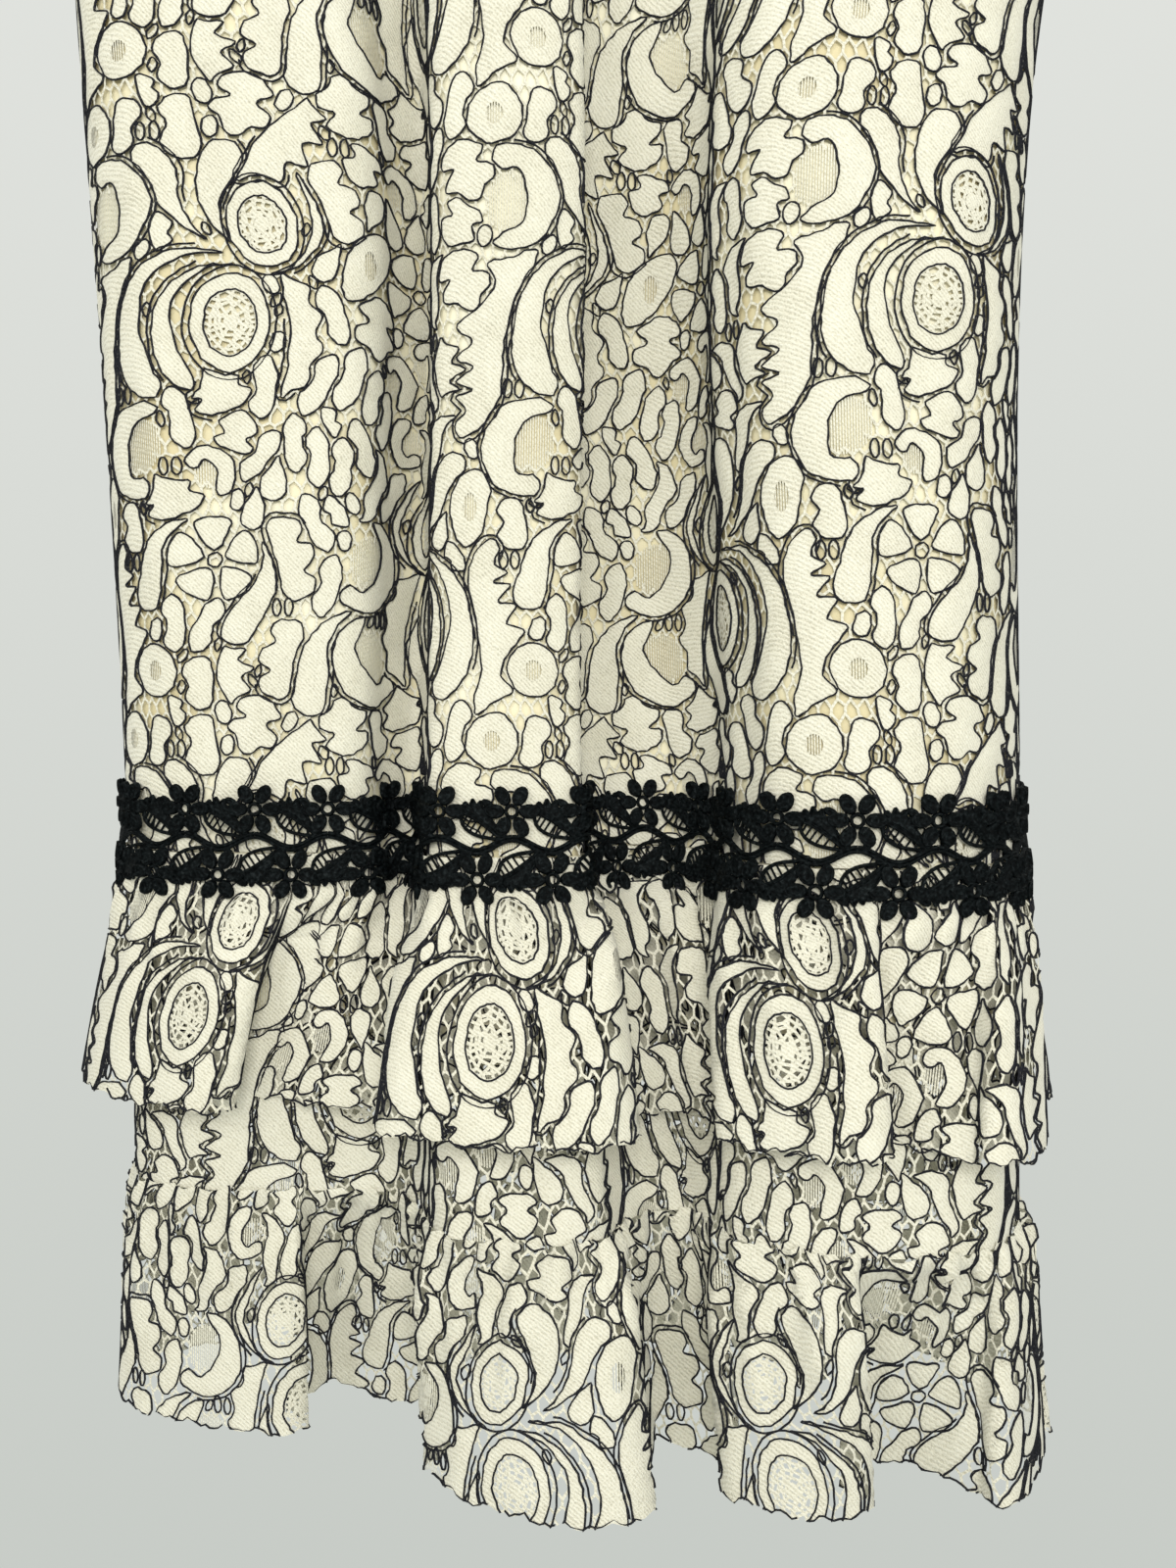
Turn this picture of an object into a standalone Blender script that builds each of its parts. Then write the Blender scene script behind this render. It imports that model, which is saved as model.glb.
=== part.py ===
"""A corded lace dress on a plain hanger.

The origin is under the crest of the hanger's hook, where a rail carries it.
The front faces -Y and everything hangs down along -Z. Lengths are in metres,
and the tables of folds are in millimetres.
"""

import math
from collections import namedtuple

import bmesh
import bpy
from mathutils import Vector

MM = 0.001

# Heights, measured down from the hook's crest
BAR_TOP_Z = -0.064
BUST_Z = -0.340
WAIST_Z = -0.500
UNDERARM_Z = -0.290
SEAM_1_Z = -0.8595
LINING_HEM_Z = -0.930
UPPER_HEM_Z = -0.965
SEAM_2_Z = -1.005
LOWER_HEM_Z = -1.110

# Cloth and the gaps that part one piece from the next
LACE_WALL = 0.0012
LINING_WALL = 0.0010
TRIM_WALL = 0.0012
GAP = 0.0003
TRIM_GAP = 0.0005
SEAM_HALF_GAP = 0.00015

# Bodice
BUST_HALF_WIDTH = 0.2225
FRONT_BUST_DEPTH = 0.045
BACK_BUST_DEPTH = 0.040
NECK_HALF_WIDTH = 0.100
SHOULDER_TIP_X = 0.175
FRONT_NECK_DROP = 0.090
BACK_NECK_DROP = 0.030
NECK_BUST_X = 0.112
TIP_BUST_X = 0.182
SHOULDER_ROLL = 0.0075
SIDE_TAPER = 0.040
FALL_LENGTH = 0.22
FALL_START = 0.12
ARMHOLE_ACROSS = 1.3
ARMHOLE_DOWN = 0.9
NECK_ROUNDNESS = 3
NECK_COLUMN_STEPS = (0.0010, 0.0040)

# Hanger
BAR_HALF_LENGTH = 0.164
BAR_HALF_THICKNESS = 0.005
BAR_HEIGHT = 0.026
BAR_EDGE = 0.0035
BAR_TAPER = 0.35
BAR_END_SLANT = 0.01
ARM_SLOPE = 0.33
ARM_CREST = 0.014
BAR_TO_CLOTH = 0.0012
HOOK_WIRE = 0.002
HOOK_RADIUS = 0.020
HOOK_NECK = 0.008

# Trim: one repeat is a top daisy, a bottom daisy and the leaves between them
TRIM_CELL = 0.00606
TRIM_ROWS = (-0.8385, -0.8445, -0.8515, -0.8575, -0.8645, -0.8710)
TRIM_ROWS_ON_DRESS = 3
TRIM_REPEAT = (
    "#####",
    ".##.#",
    "#####",
    ".#.##",
    "#####",
)
PETAL_REACH = 0.0060
TOP_PETALS = (0.0, 0.8, 1.0, 0.8, 0.0)
BOTTOM_PETALS = (1.0, 0.0, 0.0, 0.8, 1.0)

# Rows of the walls, from the bust down
BODY_ROWS = (BUST_Z, -0.420, WAIST_Z, -0.660, -0.827, SEAM_1_Z)
STITCHED_Z = -0.878
UNDER_RUFFLE_Z = -0.905
LINING_ROWS = BODY_ROWS + (STITCHED_Z, UNDER_RUFFLE_Z, LINING_HEM_Z)
LINING_SEAM_FOLDS = (6.0, 14.0)
TIER_ROWS = (SEAM_1_Z - GAP, STITCHED_Z, UNDER_RUFFLE_Z, LINING_HEM_Z, SEAM_2_Z)
YOKE_DROPS = (0.0, 0.0012, 0.0045, 0.0110, 0.0300)
UPPER_RUFFLE_ROWS = (SEAM_1_Z - GAP, STITCHED_Z, UNDER_RUFFLE_Z, -0.935, UPPER_HEM_Z)
LOWER_RUFFLE_ROWS = (SEAM_2_Z - GAP, -1.025, -1.060, LOWER_HEM_Z)
UPPER_FLARE = 0.75
LOWER_FLARE = 0.70
LONG_SEGMENT = 0.0335
SIDE_BLEND = 0.8
MITRE_LIMIT = 0.6

# Where each fold lies at the waist, at the trim and at the second seam, in mm
Fold = namedtuple("Fold", "name waist_x waist_y trim_x trim_y seam_x seam_y")
FRONT_FOLDS = (
    Fold("left side seam", -217, 14, -204, 14, -203, 12),
    Fold("left round", -208, -12, -194, -12, -194, -14),
    Fold("left panel outer", -172, -28, -164, -28, -168, -26),
    Fold("left panel inner", -125, -30, -123, -31, -126, -28),
    Fold("left panel edge", -96, -25, -95, -25, -92, -29),
    Fold("left recess side", -85, -8, -86, -9, -80, -32),
    Fold("left recess floor", -75, -3, -76, -4, -71, -43),
    Fold("middle fold foot", -68, -14, -68, -20, -65, -57),
    Fold("middle fold left edge", -63, -32, -63, -41, -57, -76),
    Fold("middle fold left", -40, -36, -40, -45, -30, -84),
    Fold("middle fold right", -16, -36, -16, -45, -8, -86),
    Fold("middle fold right edge", -4, -31, -3, -40, 5, -80),
    Fold("middle fold undercut", -7, -14, -7, -18, 12, -66),
    Fold("middle recess left", 8, -3, 9, -5, 23, -54),
    Fold("middle recess right", 34, -4, 34, -6, 41, -51),
    Fold("right panel foot", 52, -16, 53, -24, 50, -65),
    Fold("right panel edge", 58, -38, 61, -54, 57, -79),
    Fold("right panel first", 78, -50, 76, -72, 75, -90),
    Fold("right panel second", 108, -54, 104, -82, 101, -97),
    Fold("right panel third", 140, -52, 135, -80, 130, -97),
    Fold("right panel fourth", 166, -42, 158, -66, 153, -90),
    Fold("right round", 184, -22, 174, -42, 168, -70),
    Fold("right side seam", 190, 2, 183, -14, 178, -40),
)
BACK_FOLDS = (
    Fold("right back round", 184, 26, 178, 14, 176, -12),
    Fold("right back outer", 160, 38, 155, 30, 155, 10),
    Fold("right back inner", 128, 36, 124, 28, 124, 8),
    Fold("first back fold foot", 100, 24, 98, 12, 98, -10),
    Fold("first back fold side", 74, 32, 72, 22, 72, 4),
    Fold("first back fold", 40, 44, 38, 40, 38, 26),
    Fold("middle back", 4, 46, 2, 42, 2, 30),
    Fold("second back fold side", -28, 34, -28, 26, -28, 10),
    Fold("second back fold foot", -58, 32, -58, 24, -58, 10),
    Fold("second back fold", -92, 46, -90, 44, -90, 36),
    Fold("left back inner", -128, 50, -124, 50, -126, 44),
    Fold("left back outer", -162, 44, -156, 44, -160, 40),
    Fold("left back round", -194, 36, -184, 36, -186, 34),
)

# Where the front ruffles' hems hang, in mm; place counts folds from the left
Hem = namedtuple("Hem", "place x y")
UPPER_HEM = (
    Hem(0.0, -231, 18), Hem(0.5, -226, 4), Hem(1.0, -217, -13), Hem(1.5, -203, -29),
    Hem(2.0, -184, -40), Hem(2.5, -162, -47), Hem(3.0, -150, -41), Hem(3.5, -145, -35),
    Hem(4.0, -112, -42), Hem(4.5, -99, -45), Hem(5.0, -90, -49), Hem(6.0, -80, -52),
    Hem(7.0, -77, -64), Hem(8.0, -72, -79), Hem(8.5, -57, -90), Hem(9.0, -36, -96),
    Hem(10.0, -10, -98), Hem(11.0, 8, -94), Hem(11.5, 14, -84), Hem(12.0, 15, -69),
    Hem(12.5, 19, -57), Hem(13.0, 27, -52), Hem(14.0, 41, -53), Hem(14.5, 49, -64),
    Hem(15.0, 53, -78), Hem(16.0, 60, -92), Hem(17.0, 77, -104), Hem(17.5, 92, -109),
    Hem(18.0, 103, -106), Hem(18.5, 108, -98), Hem(19.0, 119, -97), Hem(19.5, 134, -106),
    Hem(20.0, 147, -113), Hem(20.5, 160, -110), Hem(21.0, 171, -95), Hem(21.5, 179, -73),
    Hem(22.0, 185, -44),
)
LOWER_HEM = (
    Hem(0.0, -214, 18), Hem(0.5, -213, 4), Hem(1.0, -206, -9), Hem(1.5, -190, -20),
    Hem(2.0, -171, -27), Hem(2.5, -148, -31), Hem(3.0, -129, -27), Hem(3.5, -125, -8),
    Hem(4.0, -118, 8), Hem(4.5, -104, 2), Hem(5.0, -88, -8), Hem(6.0, -74, -12),
    Hem(6.5, -67, -24), Hem(7.0, -63, -42), Hem(8.0, -58, -64), Hem(8.5, -50, -80),
    Hem(9.0, -32, -92), Hem(10.0, -10, -99), Hem(10.5, 4, -100), Hem(11.0, 16, -91),
    Hem(11.5, 23, -76), Hem(12.0, 26, -54), Hem(12.5, 28, -38), Hem(13.0, 34, -42),
    Hem(14.0, 50, -50), Hem(14.5, 57, -62), Hem(15.0, 60, -76), Hem(16.0, 68, -88),
    Hem(17.0, 85, -94), Hem(17.5, 98, -91), Hem(18.0, 105, -78), Hem(18.5, 109, -60),
    Hem(19.0, 120, -55), Hem(19.5, 138, -62), Hem(20.0, 153, -80), Hem(20.5, 166, -82),
    Hem(21.0, 177, -72), Hem(21.5, 187, -55), Hem(22.0, 194, -36),
)

# The back ruffles are plain waves: how far out they hang and how deep they fold
Wave = namedtuple("Wave", "flare depth waves")
WAVE_DRIFT = 0.8
DRIFT_TURN = 5.0
UPPER_BACK_WAVE = Wave(0.020, 0.009, 5)
LOWER_BACK_WAVE = Wave(0.018, 0.011, 5)

FRONT_LAST = len(FRONT_FOLDS) - 1
FOLD_COUNT = len(FRONT_FOLDS) + len(BACK_FOLDS)
LEVELS = (BUST_Z, WAIST_Z, SEAM_1_Z, SEAM_2_Z)

Material = namedtuple("Material", "name colour roughness metallic")
LACE = Material("corded_lace", (0.80, 0.76, 0.62, 1.0), 0.85, 0.0)
LINING = Material("beige_lining", (0.62, 0.52, 0.32, 1.0), 0.70, 0.0)
BLACK_TRIM = Material("black_guipure", (0.012, 0.015, 0.018, 1.0), 0.80, 0.0)
PALE_WOOD = Material("pale_wood", (0.62, 0.44, 0.26, 1.0), 0.50, 0.0)
STEEL = Material("steel_wire", (0.60, 0.60, 0.60, 1.0), 0.30, 1.0)


def clear_scene():
    for thing in list(bpy.data.objects):
        bpy.data.objects.remove(thing, do_unlink=True)


def make_material(finish):
    material = bpy.data.materials.get(finish.name)
    if material is None:
        material = bpy.data.materials.new(finish.name)
        material.use_nodes = True
        shader = material.node_tree.nodes["Principled BSDF"]
        shader.inputs["Base Color"].default_value = finish.colour
        shader.inputs["Roughness"].default_value = finish.roughness
        shader.inputs["Metallic"].default_value = finish.metallic
        material.diffuse_color = finish.colour
    return material


def smooth_step(value):
    value = min(1.0, max(0.0, value))
    return value * value * (3.0 - 2.0 * value)


def hermite(before, start, end, after, knots, place):
    """One stretch of a smooth curve through points at uneven knots."""
    k0, k1, k2, k3 = knots
    span = k2 - k1
    t = (place - k1) / span
    leave = (end - start) / span
    arrive = leave
    if k1 > k0:
        leave = ((start - before) / (k1 - k0) * span + leave * (k1 - k0)) / (k2 - k0)
    if k3 > k2:
        arrive = (arrive * (k3 - k2) + (after - end) / (k3 - k2) * span) / (k3 - k1)
    t2 = t * t
    t3 = t2 * t
    return (
        start * (2 * t3 - 3 * t2 + 1)
        + leave * (span * (t3 - 2 * t2 + t))
        + end * (3 * t2 - 2 * t3)
        + arrive * (span * (t3 - t2))
    )


def open_curve(points, knots, place):
    """A smooth curve through the points, read at a knot value."""
    last = len(points) - 1
    k = 0
    while k < last - 1 and place > knots[k + 1]:
        k += 1
    a = max(0, k - 1)
    d = min(last, k + 2)
    stretch = (knots[a], knots[k], knots[k + 1], knots[d])
    return hermite(points[a], points[k], points[k + 1], points[d], stretch, place)


def closed_curve(points, place):
    """A smooth ring through the points; place counts points round it."""
    count = len(points)
    k = int(math.floor(place)) % count
    four = [points[(k + shift) % count] for shift in (-1, 0, 1, 2)]
    lengths = [(four[j + 1] - four[j]).length for j in range(3)]
    knots = (-lengths[0], 0.0, lengths[1], lengths[1] + lengths[2])
    return hermite(*four, knots, (place - math.floor(place)) * lengths[1])


def crown(x):
    """How full the bodice is across its width, from 1 down to 0 at a side."""
    return math.sqrt(max(0.0, 1.0 - (abs(x) / BUST_HALF_WIDTH) ** 4))


def bar_top(x):
    """The hanger's top edge, round at the middle and straight along the arms."""
    return BAR_TOP_Z - ARM_SLOPE * (math.hypot(x, ARM_CREST) - ARM_CREST)


def shoulder_line(x):
    return bar_top(x) + BAR_TO_CLOTH + GAP + LINING_WALL


def bodice_depth(x, z, depth):
    """How far the cloth stands from the shoulder seam's plane."""
    drop = max(0.0, shoulder_line(x) - z)
    turn = min(drop, SHOULDER_ROLL)
    roll = math.sqrt(max(0.0, 2.0 * SHOULDER_ROLL * turn - turn * turn))
    side = math.sqrt(min(1.0, max(0.0, (BUST_HALF_WIDTH - abs(x)) / SIDE_TAPER)))
    fall = smooth_step(FALL_START + drop / FALL_LENGTH) - smooth_step(FALL_START)
    return roll * side + (depth - SHOULDER_ROLL) * fall * crown(x)


def along(points, fraction):
    """The point at a fraction of a polyline's length."""
    lengths = [(b - a).length for a, b in zip(points, points[1:])]
    wanted = fraction * sum(lengths)
    for k, length in enumerate(lengths):
        if wanted <= length or k == len(lengths) - 1:
            return points[k].lerp(points[k + 1], min(1.0, wanted / length))
        wanted -= length
    return points[-1]


def bust_points(folds, depth, left_to_right):
    """Spread the folds' places evenly over one side of the bust line."""
    steps = 160
    sign = 1.0 if left_to_right else -1.0
    arc = []
    for k in range(steps + 1):
        x = -sign * BUST_HALF_WIDTH * math.cos(math.pi * k / steps)
        arc.append(Vector((x, -sign * bodice_depth(x, BUST_Z, depth))))
    trim = [Vector((fold.trim_x, fold.trim_y)) * MM for fold in folds]
    lengths = [(b - a).length for a, b in zip(trim, trim[1:])]
    total = sum(lengths)
    return [along(arc, sum(lengths[:k]) / total) for k in range(len(folds))]


def fold_levels():
    """Each fold's place at the bust, the waist, the trim and the second seam."""
    closing = BACK_FOLDS + (FRONT_FOLDS[0],)
    front_bust = bust_points(FRONT_FOLDS, FRONT_BUST_DEPTH, True)
    back_bust = bust_points((FRONT_FOLDS[-1],) + closing, BACK_BUST_DEPTH, False)
    bust = front_bust + back_bust[1:-1]
    levels = []
    for fold, point in zip(FRONT_FOLDS + BACK_FOLDS, bust):
        levels.append((
            point,
            Vector((fold.waist_x, fold.waist_y)) * MM,
            Vector((fold.trim_x, fold.trim_y)) * MM,
            Vector((fold.seam_x, fold.seam_y)) * MM,
        ))
    return levels


FOLD_LEVELS = fold_levels()
LEVEL_DROPS = tuple(-z for z in LEVELS)


def fold_ring(z):
    """The folds' places at one height."""
    drop = min(max(-z, LEVEL_DROPS[0]), LEVEL_DROPS[-1])
    return [open_curve(level, LEVEL_DROPS, drop) for level in FOLD_LEVELS]


def neck_columns(places, front):
    """Two close columns inside each neck point, to turn the edge over the hanger."""
    ring = fold_ring(BUST_Z)
    across = {q: closed_curve(ring, q).x for q in places if (q < FRONT_LAST) == front}
    drop = FRONT_NECK_DROP if front else BACK_NECK_DROP
    extra = []
    for side in (-1, 1):
        half = [q for q in across if across[q] * side > 0.0]
        neck = min(half, key=lambda q: abs(abs(across[q]) - NECK_BUST_X))
        inward = min((q for q in half if abs(across[q]) < abs(across[neck])),
                     key=lambda q: abs(q - neck))
        for step in NECK_COLUMN_STEPS:
            wanted = step * FRONT_NECK_DROP / drop
            share = wanted / abs(across[inward] - across[neck])
            extra.append(neck + (inward - neck) * share)
    return extra


def column_places():
    """Where the walls' columns stand; a long stretch has one more."""
    ring = fold_ring(SEAM_1_Z)
    places = []
    for k in range(FOLD_COUNT):
        places.append(float(k))
        if (ring[(k + 1) % FOLD_COUNT] - ring[k]).length > LONG_SEGMENT:
            places.append(k + 0.5)
    return sorted(places + neck_columns(places, True) + neck_columns(places, False))


COLUMNS = column_places()
RUFFLE_COLUMNS = sorted(set(COLUMNS) | {0.5 * k for k in range(2 * FOLD_COUNT)})
FRONT_COLUMN = COLUMNS.index(float(FRONT_LAST))


def body_ring(z):
    ring = fold_ring(z)
    return [closed_curve(ring, place) for place in COLUMNS]


def ring_normals(ring):
    """Outward directions at a closed ring's corners, longer at sharp ones."""
    normals = []
    for k, point in enumerate(ring):
        before = (point - ring[k - 1]).normalized()
        after = (ring[(k + 1) % len(ring)] - point).normalized()
        left = Vector((before.y, -before.x))
        right = Vector((after.y, -after.x))
        middle = (left + right).normalized()
        normals.append(middle / max(MITRE_LIMIT, middle.dot(left)))
    return normals


def moved_ring(z, distance):
    ring = body_ring(z)
    return [p + n * distance for p, n in zip(ring, ring_normals(ring))]


def draw_in_ends(points):
    start = (points[1] - points[0]).normalized() * SEAM_HALF_GAP
    end = (points[-2] - points[-1]).normalized() * SEAM_HALF_GAP
    points[0] = points[0] + start
    points[-1] = points[-1] + end
    return points


def side_columns(row, front):
    """One panel's part of a ring, its two ends drawn in from the side seams."""
    if front:
        part = list(row[:FRONT_COLUMN + 1])
    else:
        part = list(row[FRONT_COLUMN:]) + [row[0]]
    return draw_in_ends(part)


def flat_row(z, distance, front):
    return [Vector((p.x, p.y, z)) for p in side_columns(moved_ring(z, distance), front)]


def panel_tops(front):
    """The top ends of a panel's columns: armhole, shoulder, neck and back again."""
    neck_drop = FRONT_NECK_DROP if front else BACK_NECK_DROP
    bust = side_columns(body_ring(BUST_Z), front)
    places = COLUMNS[:FRONT_COLUMN + 1] if front else COLUMNS[FRONT_COLUMN:] + [0.0]
    tops = []
    corners = {}
    for side in (-1, 1):
        half = [k for k, p in enumerate(bust)
                if p.x * side >= 0.0 and (2.0 * places[k]).is_integer()]
        corners[side] = (
            min(half, key=lambda k: abs(abs(bust[k].x) - NECK_BUST_X)),
            min(half, key=lambda k: abs(abs(bust[k].x) - TIP_BUST_X)),
        )
    for k, point in enumerate(bust):
        side = 1 if point.x >= 0.0 else -1
        neck, tip = corners[side]
        x_neck = abs(bust[neck].x)
        x_tip = abs(bust[tip].x)
        x_here = abs(point.x)
        if x_here >= x_tip:
            t = min(1.0, (x_here - x_tip) / (BUST_HALF_WIDTH - x_tip))
            x = SHOULDER_TIP_X + (BUST_HALF_WIDTH - SHOULDER_TIP_X) * t ** ARMHOLE_ACROSS
            z = shoulder_line(SHOULDER_TIP_X)
            z += (UNDERARM_Z - z) * t ** ARMHOLE_DOWN
        elif x_here >= x_neck:
            t = (x_here - x_neck) / (x_tip - x_neck)
            x = NECK_HALF_WIDTH + (SHOULDER_TIP_X - NECK_HALF_WIDTH) * t
            z = shoulder_line(x)
        else:
            t = x_here / x_neck
            x = NECK_HALF_WIDTH * t
            z = shoulder_line(NECK_HALF_WIDTH) - neck_drop * (1.0 - t ** NECK_ROUNDNESS)
        on_shoulder = x_neck - 1e-6 <= x_here <= x_tip + 1e-6
        tops.append((side * x, z, on_shoulder))
    return bust, tops


def yoke_grid(front):
    """The panel above the bust line, top row first, with its outward normals."""
    bust, tops = panel_tops(front)
    depth = FRONT_BUST_DEPTH if front else BACK_BUST_DEPTH
    face = -1.0 if front else 1.0
    rows = []
    for r, drop in enumerate(YOKE_DROPS + YOKE_DROPS[-1:]):
        lowest = r == len(YOKE_DROPS)
        row = []
        for k, point in enumerate(bust):
            x_top, z_top, on_shoulder = tops[k]
            length = z_top - BUST_Z
            share = min(drop / length, 0.5 * drop / YOKE_DROPS[-1])
            if lowest:
                share = 0.5 + 0.5 * share
            x = x_top + (point.x - x_top) * smooth_step(share)
            z = z_top - length * share
            y = face * bodice_depth(x, z, depth)
            if on_shoulder and drop == 0.0:
                y = face * SEAM_HALF_GAP
            if k in (0, len(bust) - 1):
                y = point.y
                x = point.x
            row.append(Vector((x, y, z)))
        rows.append(row)
    rows.append([Vector((p.x, p.y, BUST_Z)) for p in bust])
    ring = body_ring(BUST_Z)
    level = side_columns_normals(ring_normals(ring), front)
    normals = grid_normals(rows, face)
    for r, row in enumerate(normals):
        for k, normal in enumerate(row):
            flat = Vector((level[k].x, level[k].y, 0.0))
            if r == len(rows) - 1 or k in (0, len(row) - 1):
                row[k] = flat
            elif r == 0 and tops[k][2]:
                row[k] = Vector((normal.x, 0.0, abs(normal.z))).normalized()
    return rows, normals


def side_columns_normals(normals, front):
    if front:
        return normals[:FRONT_COLUMN + 1]
    return normals[FRONT_COLUMN:] + [normals[0]]


def grid_normals(rows, face):
    """Smooth normals of a grid of points, pointing out of the garment."""
    normals = []
    for r, row in enumerate(rows):
        out = []
        for k in range(len(row)):
            down = rows[min(r + 1, len(rows) - 1)][k] - rows[max(r - 1, 0)][k]
            across = row[min(k + 1, len(row) - 1)] - row[max(k - 1, 0)]
            normal = down.cross(across).normalized()
            if normal.y * face < 0.0 and abs(normal.y) > 0.2:
                normal = -normal
            out.append(normal)
        normals.append(out)
    return normals


def panel_rows(levels, distance, front):
    """A whole panel at one distance out from the base surface."""
    yoke, normals = yoke_grid(front)
    rows = []
    for row, out in zip(yoke[:-1], normals[:-1]):
        rows.append([p + n * distance for p, n in zip(row, out)])
    for z in levels:
        rows.append(flat_row(z, distance, front))
    return rows


def hem_point(table, place):
    points = [Vector((hem.x, hem.y)) * MM for hem in table]
    return open_curve(points, [hem.place for hem in table], place)


def back_hem_point(table, wave, z, place):
    """The back hem: the body's ring pushed out in waves, joined to the front's."""
    ring = fold_ring(z)
    here = closed_curve(ring, place)
    ahead = closed_curve(ring, place + 0.05) - closed_curve(ring, place - 0.05)
    out = Vector((ahead.y, -ahead.x)).normalized()
    through = (place - FRONT_LAST) / (FOLD_COUNT - FRONT_LAST)
    drift = WAVE_DRIFT * math.sin(DRIFT_TURN * through)
    swing = math.cos(2.0 * math.pi * wave.waves * through + drift)
    point = here + out * (wave.flare + wave.depth * swing)
    start = smooth_step(1.0 - (place - FRONT_LAST) / SIDE_BLEND)
    end = smooth_step(1.0 - (FOLD_COUNT - place) / SIDE_BLEND)
    point = point.lerp(hem_point(table, float(FRONT_LAST)), start)
    return point.lerp(hem_point(table, 0.0), end)


def ruffle_places(front):
    """The columns of one ruffle, from the left side seam or from the right."""
    if front:
        return [q for q in RUFFLE_COLUMNS if q <= FRONT_LAST]
    return [q for q in RUFFLE_COLUMNS if q >= FRONT_LAST] + [float(FOLD_COUNT)]


def ring_at_places(ring, places):
    """Points of a faceted ring at any places, still on its facets."""
    corners = list(zip(COLUMNS, ring)) + [(float(FOLD_COUNT), ring[0])]
    points = []
    for place in places:
        k = max(j for j in range(len(corners) - 1) if corners[j][0] <= place)
        (start, a), (end, b) = corners[k], corners[k + 1]
        points.append(a.lerp(b, (place - start) / (end - start)))
    return points


def tier_ring(z, distance):
    """The tier's facets at any height, moved out."""
    above = max(k for k in range(len(TIER_ROWS) - 1) if z <= TIER_ROWS[k] or k == 0)
    high, low = TIER_ROWS[above], TIER_ROWS[above + 1]
    share = min(1.0, (high - z) / (high - low))
    rings = moved_ring(high, distance), moved_ring(low, distance)
    return [a.lerp(b, share) for a, b in zip(*rings)]


def ruffle_rows(levels, flare_z, flare_power, hem_table, wave, distance, attach, front):
    """A gathered ruffle: flat where it is sewn on, then out to its waving hem."""
    places = ruffle_places(front)
    hem_z = levels[-1]
    hems = hem_line(hem_table, wave, hem_z, distance)
    hung = [hems[place % FOLD_COUNT] for place in places]
    rows = []
    for z in levels:
        top = ring_at_places(tier_ring(z, attach + distance), places)
        share = max(0.0, (flare_z - z) / (flare_z - hem_z)) ** flare_power
        row = [a.lerp(b, share) for a, b in zip(top, hung)]
        rows.append([Vector((p.x, p.y, z)) for p in draw_in_ends(row)])
    return rows


def hem_line(hem_table, wave, hem_z, distance):
    """The whole hem as a ring, moved out by a distance."""
    ring = []
    for place in RUFFLE_COLUMNS:
        if place <= FRONT_LAST:
            ring.append(hem_point(hem_table, place))
        else:
            ring.append(back_hem_point(hem_table, wave, max(hem_z, SEAM_2_Z), place))
    normals = ring_normals(ring)
    return {q: p + n * distance for q, p, n in zip(RUFFLE_COLUMNS, ring, normals)}


def add_object(name, mesh, finish, collection):
    thing = bpy.data.objects.new(name, mesh)
    mesh.materials.append(make_material(finish))
    collection.objects.link(thing)
    return thing


def cloth_wall(name, inner, outer, finish, collection, keep=None):
    """A wall between two grids of points, open where a cell isn't kept."""
    height = len(inner) - 1
    width = len(inner[0]) - 1
    if keep is None:
        keep = [[True] * width for _ in range(height)]
    mesh = bmesh.new()
    made = {}

    def corner(side, r, k):
        key = (side, r, k)
        if key not in made:
            grid = outer if side else inner
            made[key] = mesh.verts.new(grid[r][k])
        return made[key]

    def kept(r, k):
        return 0 <= r < height and 0 <= k < width and keep[r][k]

    def edge_wall(r1, k1, r2, k2):
        a = corner(1, r1, k1)
        b = corner(1, r2, k2)
        c = corner(0, r2, k2)
        d = corner(0, r1, k1)
        mesh.faces.new((a, b, c))
        mesh.faces.new((a, c, d))

    for r in range(height):
        for k in range(width):
            if not keep[r][k]:
                continue
            cell = ((r, k), (r + 1, k), (r + 1, k + 1), (r, k + 1))
            a, b, c, d = (corner(1, *q) for q in cell)
            mesh.faces.new((a, b, c))
            mesh.faces.new((a, c, d))
            a, b, c, d = (corner(0, *q) for q in cell)
            mesh.faces.new((a, c, b))
            mesh.faces.new((a, d, c))
            if not kept(r - 1, k):
                edge_wall(r, k, r, k + 1)
            if not kept(r + 1, k):
                edge_wall(r + 1, k + 1, r + 1, k)
            if not kept(r, k - 1):
                edge_wall(r + 1, k, r, k)
            if not kept(r, k + 1):
                edge_wall(r, k + 1, r + 1, k + 1)
    data = bpy.data.meshes.new(name)
    mesh.to_mesh(data)
    mesh.free()
    return add_object(name, data, finish, collection)


def build_panels(collection):
    for side, front in (("front", True), ("back", False)):
        inner = panel_rows(BODY_ROWS, 0.0, front)
        outer = panel_rows(BODY_ROWS, LACE_WALL, front)
        cloth_wall("dress_" + side, inner, outer, LACE, collection)
        inner = [flat_row(z, 0.0, front) for z in TIER_ROWS]
        outer = [flat_row(z, LACE_WALL, front) for z in TIER_ROWS]
        cloth_wall("tier_" + side, inner, outer, LACE, collection)


def drawn_in(line, towards):
    """A cut edge moved half a seam's gap towards the next line of points."""
    return [p + (q - p).normalized() * SEAM_HALF_GAP for p, q in zip(line, towards)]


def cut_out(rows, top, bottom, left, right):
    """Part of a grid of points, drawn in on the sides where it is cut."""
    part = [list(row[left:right + 1]) for row in rows[top:bottom + 1]]
    if top > 0:
        part[0] = drawn_in(part[0], part[1])
    if bottom < len(rows) - 1:
        part[-1] = drawn_in(part[-1], part[-2])
    for row in part:
        if left > 0:
            row[:1] = drawn_in(row[:1], row[1:2])
        if right < len(rows[0]) - 1:
            row[-1:] = drawn_in(row[-1:], row[-2:-1])
    return part


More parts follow.
